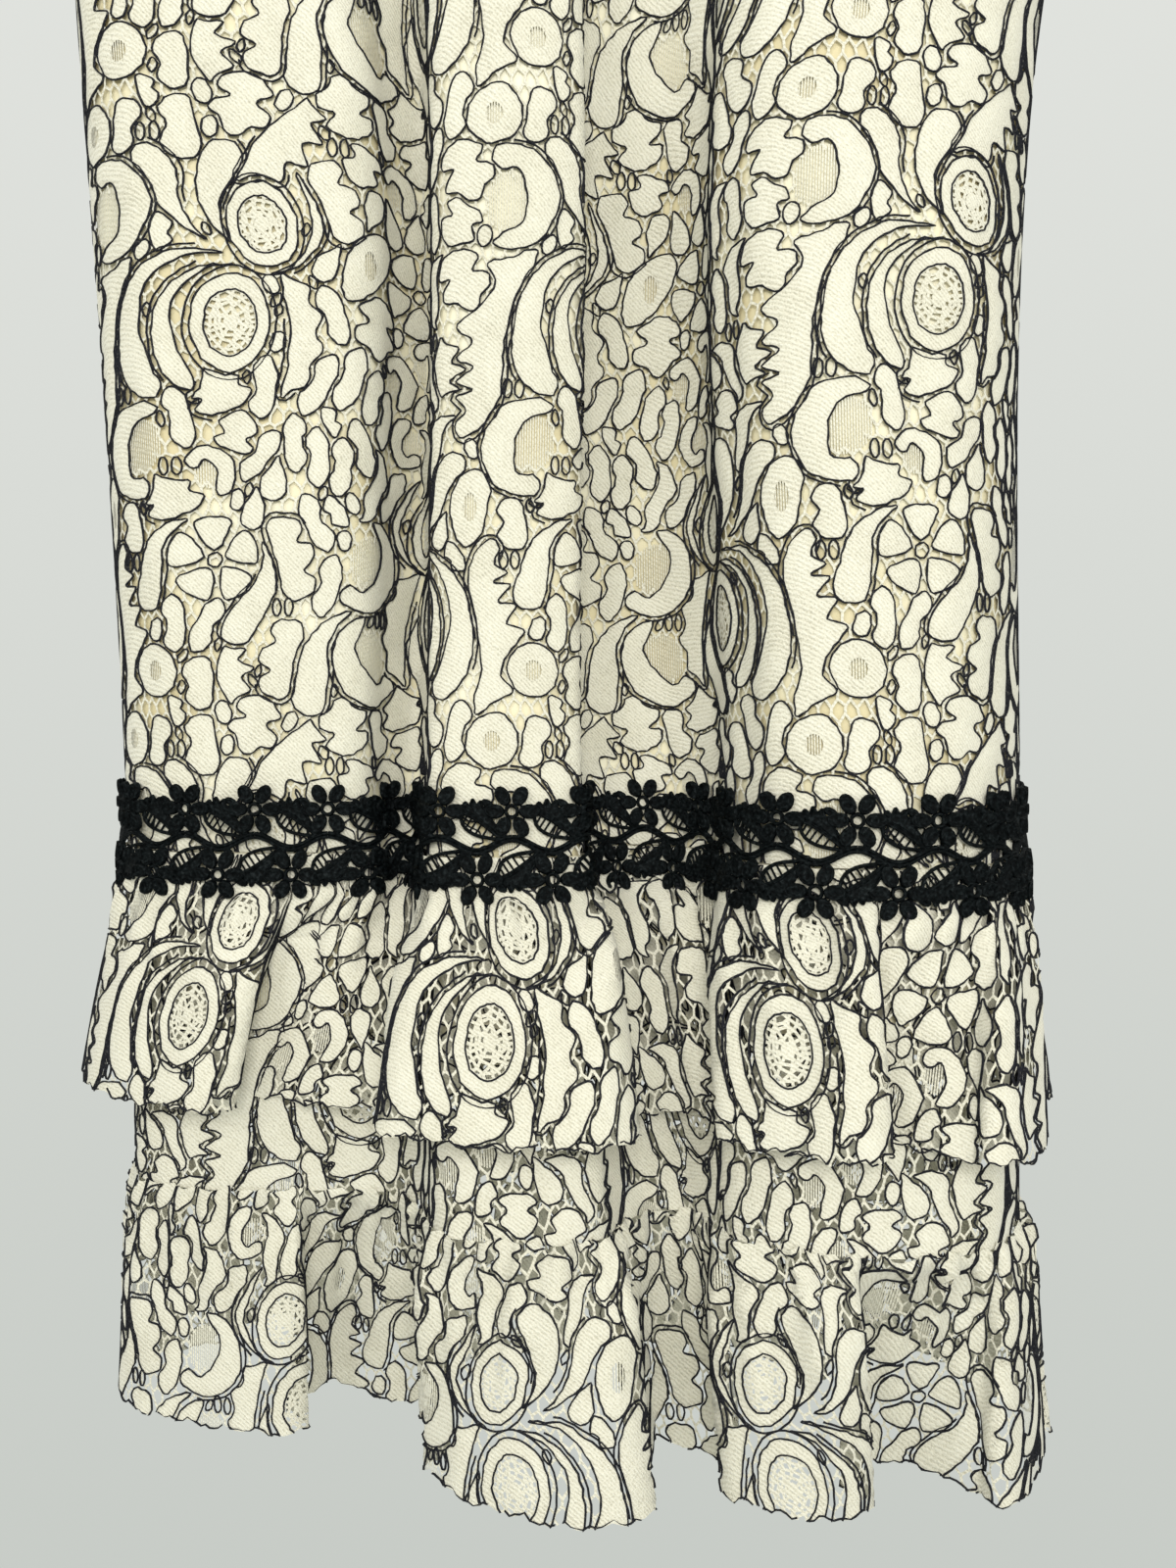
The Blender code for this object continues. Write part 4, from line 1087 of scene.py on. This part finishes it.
def upright_threads(hollow):
    """Fine upright threads that fill a motif's hollow."""
    ahead = np.roll(hollow, -1, axis=0)
    starts, ends = [], []
    for x in np.arange(hollow[:, 0].min() + 0.6, hollow[:, 0].max(), THREAD_STEP):
        crossed = (hollow[:, 0] <= x) != (ahead[:, 0] <= x)
        a, b = hollow[crossed], ahead[crossed]
        y = a[:, 1] + (b[:, 1] - a[:, 1]) * (x - a[:, 0]) / (b[:, 0] - a[:, 0])
        if len(y) > 1:
            starts.append((x, y.min()))
            ends.append((x, y.max()))
    return strands(np.array(starts), np.array(ends), FINE_THREAD, NET_LIFT)


def rim_reach(outline, middle, angle):
    """How far an outline is from its middle in one direction."""
    away = outline - middle
    turn = np.arctan2(away[:, 1], away[:, 0])
    order = np.argsort(turn)
    return float(np.interp(math.remainder(angle, 2.0 * math.pi), turn[order],
                           np.linalg.norm(away, axis=1)[order], period=2.0 * math.pi))


def felt_centre(outline, middle, draw):
    """An eye's centre: thick short threads in rings and spokes, with small holes."""
    rings = []
    for share, count in FELT_RINGS:
        turn = round_turn(count) + draw.uniform(0.0, 1.0)
        reach = np.array([rim_reach(outline, middle, a) for a in turn]) * share
        jitter = np.array([[draw.uniform(-FELT_JITTER, FELT_JITTER) for _ in (0, 1)] for _ in turn])
        rings.append(middle + on_circle(turn) * reach[:, None] + jitter * (0.0 < share < 1.0))
    starts, ends = [], []
    for inner, outer in zip(rings, rings[1:]):
        for point, after in zip(outer, np.roll(outer, -1, axis=0)):
            starts += [point, point]
            ends += [after, inner[np.argmin(np.linalg.norm(inner - point, axis=1))]]
    heart = ellipse(middle, *HEART_HALVES, 9)
    return [strands(np.array(starts), np.array(ends), FELT_THREAD, FELT_LIFT),
            pad(heart, None, HEART_SPACING, PAD_LIFT, HEART_CROWN)]


def window(middle, half_width, half_height):
    """A pod's small window: a hole crossed by upright threads."""
    x = np.arange(-half_width + 0.5, half_width, WINDOW_STEP)
    tall = half_height * np.sqrt(np.maximum(0.05, 1.0 - (x / half_width) ** 2))
    ends = stacked(x, tall)
    threads = strands(middle + ends * (1, -1), middle + ends, FINE_THREAD, WINDOW_LIFT)
    return ellipse(middle, half_width, half_height, 12), threads


def lace_tile():
    """The whole repeat as flat pads with net, and as cords."""
    chart = draw_chart()
    draw = random.Random(STITCH_SEED)
    pads, cords = [], []
    covered = np.zeros(chart.shape, bool)

    def add_cord(line, low=CORD_LOW, width=CORD_WIDTH, closed=True):
        cords.append(ridge(line, width, low, CORD_HIGH, closed))

    for kind, outline, hollow in chart.shapes:
        middle = outline.mean(axis=0)
        if kind == "loops":
            for away in (-LOOPS_AWAY, LOOPS_AWAY):
                add_cord(wobble(ellipse(middle + (away, 0.0), *LOOP_HALVES, 10), draw, FINE_WOBBLE))
            continue
        line = wobble(outline, draw, CORD_WOBBLE)
        add_cord(line, width=[CORD_WIDTH * draw.uniform(*CORD_PLAY) for _ in line])
        if kind == "ring":
            continue
        if kind in ECHO_KINDS:
            add_cord(echo(outline, draw), NET_LIFT, closed=False)
        hole = None
        if kind == "eye":
            hole = middle + (line - middle) * EYE_HOLE
            add_cord(wobble(hole, draw, HOLE_WOBBLE))
            pads += felt_centre(hole, middle, draw)
            halo = middle + (outline - middle) * EYE_HALO
            add_cord(wobble(halo, draw, FINE_WOBBLE), NET_LIFT)
        elif kind in WINDOWS:
            hole, threads = window(middle, *WINDOWS[kind])
            pads.append(threads)
        if hollow is not None:
            pads.append(upright_threads(hollow))
            covered |= chart.mask(hollow)
        pads.append(pad(line, hole, PAD_SPACING, PAD_LIFT, PAD_CROWN))
        covered |= chart.mask(line)
    columns = int(round(TILE[0] / NET_WIDTH))
    rows = 2 * int(round(0.5 * TILE[1] / NET_HEIGHT))
    starts, ends = net_edges(columns, rows, draw)
    hidden = [chart.marked(covered, places) for places in (starts, ends, 0.5 * (starts + ends))]
    keep = ~np.logical_and.reduce(hidden)
    pads.append(strands(starts[keep], ends[keep], NET_THREAD, NET_LIFT))
    print("tile: motifs", len(chart.shapes), "cover", round(float(covered.mean()), 3))
    return joined(pads), joined(cords)


def lay(flat, cloth, shift, extra):
    """Lay the repeat all over a panel and cut it at the panel's edges."""
    size = TILE * MM
    points = flat.points * MM + shift
    first = np.floor(((0.0, cloth.top) - points.max(axis=0)) / size).astype(int)
    last = np.ceil(((cloth.width, cloth.bottom) - points.min(axis=0)) / size).astype(int)
    tiles = [Flat(points + (column, row) * size, flat.lifts * MM, flat.faces)
             for column in range(first[0], last[0] + 1) for row in range(first[1], last[1] + 1)]
    tiles += [Flat(piece.points * MM, piece.lifts * MM, piece.faces) for piece in extra]
    return cut_to_cloth(joined(tiles), cloth)


def clipped(points, faces, value):
    """Cut the triangles where a value over the cloth falls below zero."""
    corners = value[faces] > 0.0
    count = corners.sum(axis=1)
    kept = [faces[count == 3]]
    for wanted in (1, 2):
        cut = faces[count == wanted]
        here = corners[count == wanted]
        odd = np.argmax(here if wanted == 1 else ~here, axis=1)
        k = np.arange(len(cut))
        a, b, c = (cut[k, (odd + turn) % 3] for turn in range(3))
        ab = len(points) + k
        ac = ab + len(cut)
        for other in (b, c):
            share = (value[a] / (value[a] - value[other]))[:, None]
            points = np.concatenate([points, points[a] * (1.0 - share) + points[other] * share])
        made = [(a, ab, ac)] if wanted == 1 else [(ab, b, c), (ab, c, ac)]
        kept += [np.stack(face, axis=1) for face in made]
    return points, np.concatenate(kept)


def cut_to_cloth(flat, cloth):
    """Cut flat triangles to a panel; gives across, down, lift and faces."""
    points = np.column_stack([flat.points, flat.lifts])
    faces = flat.faces
    for limit in (
        lambda u, v: u - EDGE_MARGIN,
        lambda u, v: cloth.width - EDGE_MARGIN - u,
        lambda u, v: v - cloth.edge_at(u) - EDGE_MARGIN,
        lambda u, v: cloth.hem_at(u) - EDGE_MARGIN - v,
    ):
        points, faces = clipped(points, faces, limit(points[:, 0], points[:, 1]))
    faces = faces[0.5 * np.abs(doubled_area(points, faces)) > SMALLEST_AREA]
    used, faces = np.unique(faces, return_inverse=True)
    return (*points[used].T, faces.reshape(-1, 3))


# The folded binding and the cord along a raw hem, in m along the cloth
BINDING_STEP = 0.0024
BINDING_IN = 0.0014
BINDING_WIDTH = 2.4
HEM_CORD_STEP = 0.0021
HEM_CORD_LENGTH = (0.012, 0.045)
HEM_CORD_GAP = (0.001, 0.009)
HEM_CORD_IN = (0.0003, 0.0009)


def binding(cloth):
    """A narrow bound edge along the neck, shoulders and armholes."""
    u = np.arange(0.0008, cloth.width - 0.0008, BINDING_STEP)
    line = stacked(u, cloth.edge_at(u) + BINDING_IN) / MM
    return ridge(line, BINDING_WIDTH, 0.2, 1.5, False)


def hem_cord(cloth, seed):
    """Stretches of cord along a raw hem, where it was cut through the motifs."""
    draw = random.Random(seed)
    made = []
    across = 0.003
    while across < cloth.width - 0.006:
        end = min(cloth.width - 0.001, across + draw.uniform(*HEM_CORD_LENGTH))
        u = np.arange(across, end, HEM_CORD_STEP)
        if len(u) > 2:
            away = np.array([draw.uniform(*HEM_CORD_IN) for _ in u])
            line = stacked(u, cloth.hem_at(u) - away) / MM
            made.append(ridge(line, CORD_WIDTH, CORD_LOW, CORD_HIGH, False))
        across = end + draw.uniform(*HEM_CORD_GAP)
    return joined(made)


def even_sheet(cloth, lift, columns, rows):
    """A plain even sheet over a whole panel; gives across, down, lift and faces."""
    u = np.linspace(0.0, cloth.width, columns + 1)
    top = cloth.edge_at(u)
    v = top + (cloth.bottom - top) * np.linspace(0.0, 1.0, rows + 1)[:, None]
    k = np.arange(rows)[:, None] * (columns + 1) + np.arange(columns)
    faces = np.stack([k, k + columns + 1, k + columns + 2, k + 1], axis=-1).reshape(-1, 4)
    return np.tile(u, rows + 1), v.ravel(), np.full(v.size, lift), faces


def cloth_object(name, laid, cloth, material):
    """A mesh of cut or even pieces, carried from the flat cloth into its folds."""
    u, v, lifts, faces = laid
    points = cloth.at(u, v, lifts)
    uv = stacked(u / cloth.width, (cloth.bottom - v) / (cloth.bottom - cloth.top))
    mesh = bpy.data.meshes.new(name)
    mesh.vertices.add(len(points))
    mesh.vertices.foreach_set("co", np.asarray(points, np.float32).ravel())
    mesh.loops.add(faces.size)
    mesh.loops.foreach_set("vertex_index", faces.astype(np.int32).ravel())
    mesh.polygons.add(len(faces))
    starts = np.arange(0, faces.size, faces.shape[1], dtype=np.int32)
    mesh.polygons.foreach_set("loop_start", starts)
    mesh.update(calc_edges=True)
    mesh.polygons.foreach_set("use_smooth", np.full(len(faces), True))
    layer = mesh.uv_layers.new(name="OFBake")
    layer.data.foreach_set("uv", np.asarray(uv, np.float32)[faces.ravel()].ravel())
    mesh.validate()
    mesh.update()
    mesh.materials.append(material)
    thing = bpy.data.objects.new(name, mesh)
    bpy.context.scene.collection.objects.link(thing)
    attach(thing, "root")
    print(name, len(faces), "faces")
    return thing


# The guipure trim: its repeat and lie, and its sizes in mm
TRIM_REPEAT = 30.3
TRIM_RISE = 0.0050
TRIM_HALF = 0.026
TRIM_FOOT = 0.2
TRIM_STEP = 0.012
DAISY_REACH = 7.1
DAISY_V = 13.6
DAISY_PETAL = (4.3, 3.0)
DAISY_RIM = (3.5, 2.3)
DAISY_RING = (2.4, 2.4)
BUD_HALVES = (3.0, 1.7)
VINE_HALF = 0.75
VINE_WIDTH = 1.7
LEAF_CORD = 1.5
LEAF_BAR = 0.85
VINE_SWING = 2.7
# Places from the middle of the repeat's top daisy, along the band and down it
LEAF_SPINE = ((8.0, -13.5), (13.0, -11.5), (18.5, -8.0), (25.5, -2.6))
LEAF_RIM = ((8.6, -12.5), (10.2, -7.2), (15.5, -3.8), (25.0, -2.2))
LEAF_SOLID = (
    (9.6, -13.8), (11.0, -17.2), (12.4, -15.8), (14.0, -18.4), (15.6, -16.2), (17.4, -17.6),
    (18.6, -14.6), (20.6, -14.6), (21.6, -10.8), (23.4, -8.0), (25.2, -3.6), (21.0, -6.8),
    (17.5, -9.6), (13.0, -12.4),
)
# Small buds that join a daisy to its neighbours: place and turn
TRIM_BUDS = ((-9.8, -16.6, 0.5), (10.2, -15.0, -0.3), (-4.6, -5.0, 0.9), (4.2, -4.8, -0.9))


def dome(outline, middle, rim, dip):
    """A stitched petal: a raised rim round a dimple."""
    middle = np.asarray(middle, float)
    n = len(outline)
    rings = [outline] + [middle + (outline - middle) * share for share in (0.72, 0.30)]
    here = np.arange(n)
    after = (here + 1) % n
    faces = strip(0, n, here, after) + strip(n, 2 * n, here, after)
    faces.append(stacked(2 * n + here, np.full(n, 3 * n), 2 * n + after))
    lifts = np.append(np.repeat([TRIM_FOOT, rim, dip], n), dip)
    return Flat(np.concatenate(rings + [middle[None]]), lifts, np.concatenate(faces))


def daisy(centre):
    """Six stitched petals round an open ring, two of them level."""
    made = []
    for k in range(6):
        turn = math.pi * k / 3
        middle = centre + np.array([math.cos(turn), math.sin(turn)]) * DAISY_REACH
        made.append(dome(ellipse(middle, *DAISY_PETAL, 14, turn), middle, 2.4, 1.2))
        made.append(ridge(ellipse(middle, *DAISY_RIM, 14, turn), 1.2, 1.6, 3.0))
    made.append(ridge(ellipse(centre, *DAISY_RING, 12), 1.6, 0.4, 2.8))
    return made


def trim_leaf(place):
    """A leaf off the vine: a solid toothed half and a half open between bars."""
    shares = np.linspace(0.0, 1.0, 9)
    knots = np.linspace(0.0, 1.0, len(LEAF_SPINE))
    middle, rim = (open_curve(line, knots, shares) + place for line in (LEAF_SPINE, LEAF_RIM))
    solid = sample_closed(LEAF_SOLID, 1.3) + place
    bars = [(np.stack([middle[k], rim[k]]), LEAF_BAR, 1.4) for k in range(2, 8)]
    made = [dome(solid, solid.mean(axis=0), 1.7, 1.2), ridge(solid, 1.1, TRIM_FOOT, 2.0)]
    return made + [ridge(line, width, TRIM_FOOT, high, False)
                   for line, width, high in [(middle, LEAF_CORD, 2.2), (rim, LEAF_CORD, 2.0)] + bars]


def trim_tile():
    """One repeat of the trim, its vine along the seam."""
    half = 0.5 * TRIM_REPEAT
    made = daisy(np.array([0.0, -DAISY_V])) + daisy(np.array([half, DAISY_V]))
    x = np.linspace(0.0, TRIM_REPEAT, 25)
    for rise in (-VINE_HALF, VINE_HALF):
        y = -VINE_SWING * np.cos(2.0 * math.pi * x / TRIM_REPEAT) + rise
        made.append(ridge(stacked(x, y), VINE_WIDTH, TRIM_FOOT, 2.1, False))
    made += trim_leaf((0.0, 0.0))
    for flat in trim_leaf((half, 0.0)):
        made.append(Flat(flat.points * (1.0, -1.0), flat.lifts, flat.faces[:, ::-1]))
    for x, y, turn in TRIM_BUDS:
        for middle in ((x, y), (half - x, -y)):
            made.append(dome(ellipse(middle, *BUD_HALVES, 10, turn), middle, 1.9, 1.0))
    return joined(made)


def trim_cloth(front):
    """The trim's own grid: over the dress, then out over the ruffle's gathers."""
    places, width = even_places(front, SEAM_1_Z)
    middle = SEAM_1_Z + TRIM_RISE
    rows = []
    count = 2 * int(round(TRIM_HALF / STEP)) + 1
    for z in np.linspace(middle + TRIM_HALF, middle - TRIM_HALF, count):
        step = float(smooth_step((SEAM_1_Z - z + 0.5 * TRIM_STEP) / TRIM_STEP))
        lift = TRIM_LIFT + (TRIM_ON_RUFFLE - TRIM_LIFT) * step
        rows.append(level_row(stood_out(base_ring(z, places), lift), z))
    return Cloth(width, -middle - TRIM_HALF, -middle + TRIM_HALF, np.array(rows))


def lay_trim(flat, cloth):
    """Whole repeats all along the seam, stretched a little to fit."""
    count = int(round(cloth.width / (TRIM_REPEAT * MM)))
    pitch = cloth.width / count
    along = flat.points[:, 0] * (pitch / TRIM_REPEAT)
    down = flat.points[:, 1] * MM - SEAM_1_Z - TRIM_RISE
    tiles = [Flat(stacked(along + k * pitch, down), flat.lifts * MM, flat.faces)
             for k in range(count)]
    return cut_to_cloth(joined(tiles), cloth)


# Materials, each from the object's own coordinates
def new_look(name):
    material = bpy.data.materials.new(name)
    material.use_nodes = True
    return material, material.node_tree


def object_place(tree):
    return tree.nodes.new("ShaderNodeTexCoord").outputs["Object"]


def put(tree, node, sockets):
    """Set a node's sockets to plain values, or join them to other nodes."""
    for name, value in sockets.items():
        if isinstance(value, bpy.types.NodeSocket):
            tree.links.new(value, node.inputs[name])
        else:
            node.inputs[name].default_value = value
    return node.outputs


def added_node(tree, kind, sockets):
    return put(tree, tree.nodes.new("ShaderNode" + kind), sockets)


def noise(tree, place, scale, detail):
    return added_node(tree, "TexNoise", {"Scale": scale, "Detail": detail, "Vector": place})["Fac"]


def rescaled(tree, value, low, high):
    return added_node(tree, "MapRange", {"From Min": low, "From Max": high, "Value": value})["Result"]


def added(tree, value, share, other):
    """A share of one value plus another."""
    made = tree.nodes.new("ShaderNodeMath")
    made.operation = "MULTIPLY_ADD"
    return put(tree, made, {0: value, 1: share, 2: other})[0]


def ramp(tree, value, stops):
    made = tree.nodes.new("ShaderNodeValToRGB")
    elements = made.color_ramp.elements
    while len(elements) < len(stops):
        elements.new(0.5)
    for element, (position, colour) in zip(elements, stops):
        element.position = position
        element.color = (*colour, 1.0)
    return put(tree, made, {"Fac": value})["Color"]


def finish_look(tree, value, stops, height, strength, distance, sockets):
    """Set the shader: colours along a value, a fine relief and plain sockets."""
    relief = {"Strength": strength, "Distance": distance, "Height": height}
    put(tree, tree.nodes["Principled BSDF"], {
        "Base Color": ramp(tree, value, stops),
        "Normal": added_node(tree, "Bump", relief)["Normal"],
        **sockets,
    })


def lace_look():
    material, tree = new_look("corded_lace_look")
    place = object_place(tree)
    coarse = noise(tree, place, 45.0, 2.0)
    fine = noise(tree, place, 1300.0, 2.0)
    ribs = tree.nodes.new("ShaderNodeTexWave")
    ribs.wave_type = "BANDS"
    ribs.bands_direction = "DIAGONAL"
    rib = put(tree, ribs, {"Scale": 310.0, "Distortion": 3.0, "Detail": 2.0, "Detail Scale": 2.0,
                           "Vector": place})["Fac"]
    woven = added(tree, rib, 0.35, fine)
    mixed = rescaled(tree, added(tree, coarse, 0.5, woven), 0.3, 1.5)
    finish_look(tree, mixed, (
        (0.12, (0.44, 0.415, 0.31)), (0.45, (0.68, 0.65, 0.52)), (0.85, (0.80, 0.78, 0.66)),
    ), woven, 0.9, 0.0005, {"Roughness": 0.9, "Sheen Weight": 0.25, "Sheen Roughness": 0.5})
    return material


def lining_look():
    material, tree = new_look("beige_lining_look")
    place = object_place(tree)
    finish_look(tree, noise(tree, place, 14.0, 3.0), (
        (0.38, (0.68, 0.60, 0.37)), (0.47, (0.80, 0.74, 0.52)), (0.62, (0.87, 0.83, 0.65)),
    ), noise(tree, place, 2200.0, 1.0), 0.25, 0.0002, {"Roughness": 0.7, "Sheen Weight": 0.15})
    return material


def plain_look(name, scale, detail, stops, strength, distance, sockets, stretch=None):
    """A material whose colour and relief follow one noise, which can be drawn out."""
    material, tree = new_look(name)
    place = object_place(tree)
    if stretch is not None:
        place = added_node(tree, "Mapping", {"Scale": stretch, "Vector": place})["Vector"]
    grain = noise(tree, place, scale, detail)
    finish_look(tree, grain, stops, grain, strength, distance, sockets)
    return material


# The plain looks: noise scale and detail, colours, relief strength and distance, other sockets
CORD_LOOK = ("black_cord_look", 1100.0, 1.0, (
    (0.35, (0.004, 0.0045, 0.007)), (0.62, (0.012, 0.013, 0.018)), (0.80, (0.10, 0.095, 0.08)),
), 0.7, 0.0004, {"Roughness": 0.8, "Specular IOR Level": 0.25})
GUIPURE_LOOK = ("black_guipure_look", 700.0, 2.0, (
    (0.38, (0.0010, 0.0016, 0.0018)), (0.56, (0.0040, 0.0060, 0.0065)),
    (0.72, (0.016, 0.020, 0.021)),
), 1.0, 0.0009, {"Roughness": 0.6, "Specular IOR Level": 0.06})
WOOD_LOOK = ("pale_wood_look", 3.0, 6.0, (
    (0.35, (0.42, 0.26, 0.13)), (0.55, (0.60, 0.42, 0.24)), (0.8, (0.68, 0.50, 0.31)),
), 0.15, 0.0003, {"Roughness": 0.42}, (6.0, 60.0, 60.0))
STEEL_LOOK = ("steel_wire_look", 400.0, 3.0, (
    (0.3, (0.55, 0.55, 0.56)), (0.7, (0.72, 0.72, 0.72)),
), 0.05, 0.0001, {"Metallic": 1.0, "Roughness": 0.24})

# Camera as in the photograph
CAMERA_PLACE = (0.0, -0.5945, -0.79)
CAMERA_PITCH = math.radians(4.13)
FOCAL_PIXELS = 1386.0
PICTURE_HEIGHT = 1600.0
SENSOR = 36.0
# Lights: name, place, what each faces, energy, size and colour
LIGHTS = (
    ("key", (-1.0, -1.6, 0.15), (0.0, 0.0, -0.80), 8.0, 0.7, (1.0, 0.985, 0.95)),
    ("front", (0.1, -1.9, -0.15), (0.0, 0.0, -0.60), 20.5, 0.7, (1.0, 0.99, 0.96)),
    ("fill", (0.9, -1.8, -0.3), (0.0, 0.0, -0.70), 6.0, 1.0, (0.98, 0.99, 1.0)),
    ("back", (0.3, 1.8, 0.1), (0.0, 0.0, -0.7), 18.0, 1.2, (1.0, 1.0, 1.0)),
)
FLOOR_Z = -1.75
FLOOR_RADIUS = 0.7
FLOOR_SIDES = 96


def linked_object(name, data):
    thing = bpy.data.objects.new(name, data)
    bpy.context.scene.collection.objects.link(thing)
    return thing


def add_camera():
    data = bpy.data.cameras.new("camera")
    camera = linked_object("camera", data)
    data.sensor_fit = "VERTICAL"
    data.sensor_height = SENSOR
    data.lens = FOCAL_PIXELS / PICTURE_HEIGHT * SENSOR
    data.clip_start = 0.01
    camera.location = CAMERA_PLACE
    camera.rotation_euler = (math.radians(90.0) - CAMERA_PITCH, 0.0, 0.0)
    bpy.context.scene.camera = camera
    bpy.context.scene.view_settings.view_transform = "Standard"


def add_light(name, place, target, energy, size, colour):
    data = bpy.data.lights.new(name, "AREA")
    data.energy = energy
    data.size = size
    data.color = colour
    light = linked_object(name, data)
    light.location = place
    light.rotation_euler = (Vector(target) - Vector(place)).to_track_quat("-Z", "Y").to_euler()


def add_world():
    world = bpy.data.worlds.new("pale room")
    bpy.context.scene.world = world
    world.use_nodes = True
    tree = world.node_tree
    place = tree.nodes.new("ShaderNodeTexCoord").outputs["Generated"]
    height = added_node(tree, "SeparateXYZ", {"Vector": place})["Z"]
    colour = ramp(tree, rescaled(tree, height, -0.6, 0.5), (
        (0.0, (0.565, 0.595, 0.560)), (1.0, (0.760, 0.775, 0.740)),
    ))
    put(tree, tree.nodes["Background"], {"Color": colour, "Strength": 1.0})


def add_floor():
    rim = level_row(ellipse((0.0, 0.0), FLOOR_RADIUS, FLOOR_RADIUS, FLOOR_SIDES), FLOOR_Z)
    points = [tuple(p) for p in rim] + [(0.0, 0.0, FLOOR_Z)]
    mesh = bpy.data.meshes.new("floor")
    sides = [(k, (k + 1) % FLOOR_SIDES, FLOOR_SIDES) for k in range(FLOOR_SIDES)]
    mesh.from_pydata(points, [], sides)
    material, tree = new_look("pale_floor")
    put(tree, tree.nodes["Principled BSDF"],
        {"Base Color": (0.50, 0.52, 0.50, 1.0), "Roughness": 0.8})
    mesh.materials.append(material)
    linked_object("floor", mesh)


LINING_GRID = (80, 100)
LINING_NODES = {
    "front": ["lining_front_" + part for part in ("bodice", "left", "middle", "right")],
    "back": ["lining_back"],
}
# Where the lace's repeat starts on each front panel, and how far over it starts behind
SHIFTS = {
    "dress": (0.020, 0.030), "tier": (0.070, 0.100),
    "upper_ruffle": (0.030, 0.064), "lower_ruffle": (-0.040, 0.116),
}
BACK_SHIFT = 0.085
UPPER_SEED = 21
LOWER_SEED = 41
HEM_SEED = 61


def build():
    lace, lining = lace_look(), lining_look()
    cord, black, wood, steel = (plain_look(*look)
                                for look in (CORD_LOOK, GUIPURE_LOOK, WOOD_LOOK, STEEL_LOOK))
    ground, cords = lace_tile()
    guipure = trim_tile()
    for side, front in (("front", True), ("back", False)):
        dress = dress_cloth(front)
        band = trim_cloth(front)
        trim = cloth_object("trim_" + side + "_guipure", lay_trim(guipure, band), band, black)
        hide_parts("trim_" + side)
        upper = ruffle_cloth(front, SEAM_1_Z, UPPER_HEM_Z, STITCHED_Z, UPPER_FLARE, UPPER_HEM,
                             UPPER_BACK_WAVE, RUFFLE_LIFT, 0.0, UPPER_SEED + front, UPPER_PLEATS)
        lower = ruffle_cloth(front, SEAM_2_Z, LOWER_HEM_Z, SEAM_2_Z, LOWER_FLARE, LOWER_HEM,
                             LOWER_BACK_WAVE, LACE_LIFT, LOWER_HEAD, LOWER_SEED + front, LOWER_PLEATS)
        for name, cloth in (("dress", dress), ("tier", tier_cloth(front)),
                            ("upper_ruffle", upper), ("lower_ruffle", lower)):
            across, down = SHIFTS[name]
            shift = (across + (0.0 if front else BACK_SHIFT), down)
            gathered = "ruffle" in name
            raw = [hem_cord(cloth, HEM_SEED + front)] if gathered else []
            bound = [binding(cloth)] if name == "dress" else []
            full = name + "_" + side
            piece = cloth_object(full + "_lace", lay(ground, cloth, shift, bound), cloth, lace)
            line = cloth_object(full + "_cords", lay(cords, cloth, shift, raw), cloth, cord)
            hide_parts(full)
            tall = cloth.bottom - cloth.top
            min(cloth.area(), cloth.width * tall)
        inner = lining_cloth(dress, front)
        plain = even_sheet(inner, LINING_LIFT, *LINING_GRID)
        piece = cloth_object("lining_" + side + "_cloth", plain, inner, lining)
        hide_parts(*LINING_NODES[side])
        inner.area()
    for name, material in (("hanger_bar", wood), ("hanger_hook", steel)):
        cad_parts[name].data.materials.clear()
        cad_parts[name].data.materials.append(material)


build()
add_camera()
add_world()
for light in LIGHTS:
    add_light(*light)
add_floor()
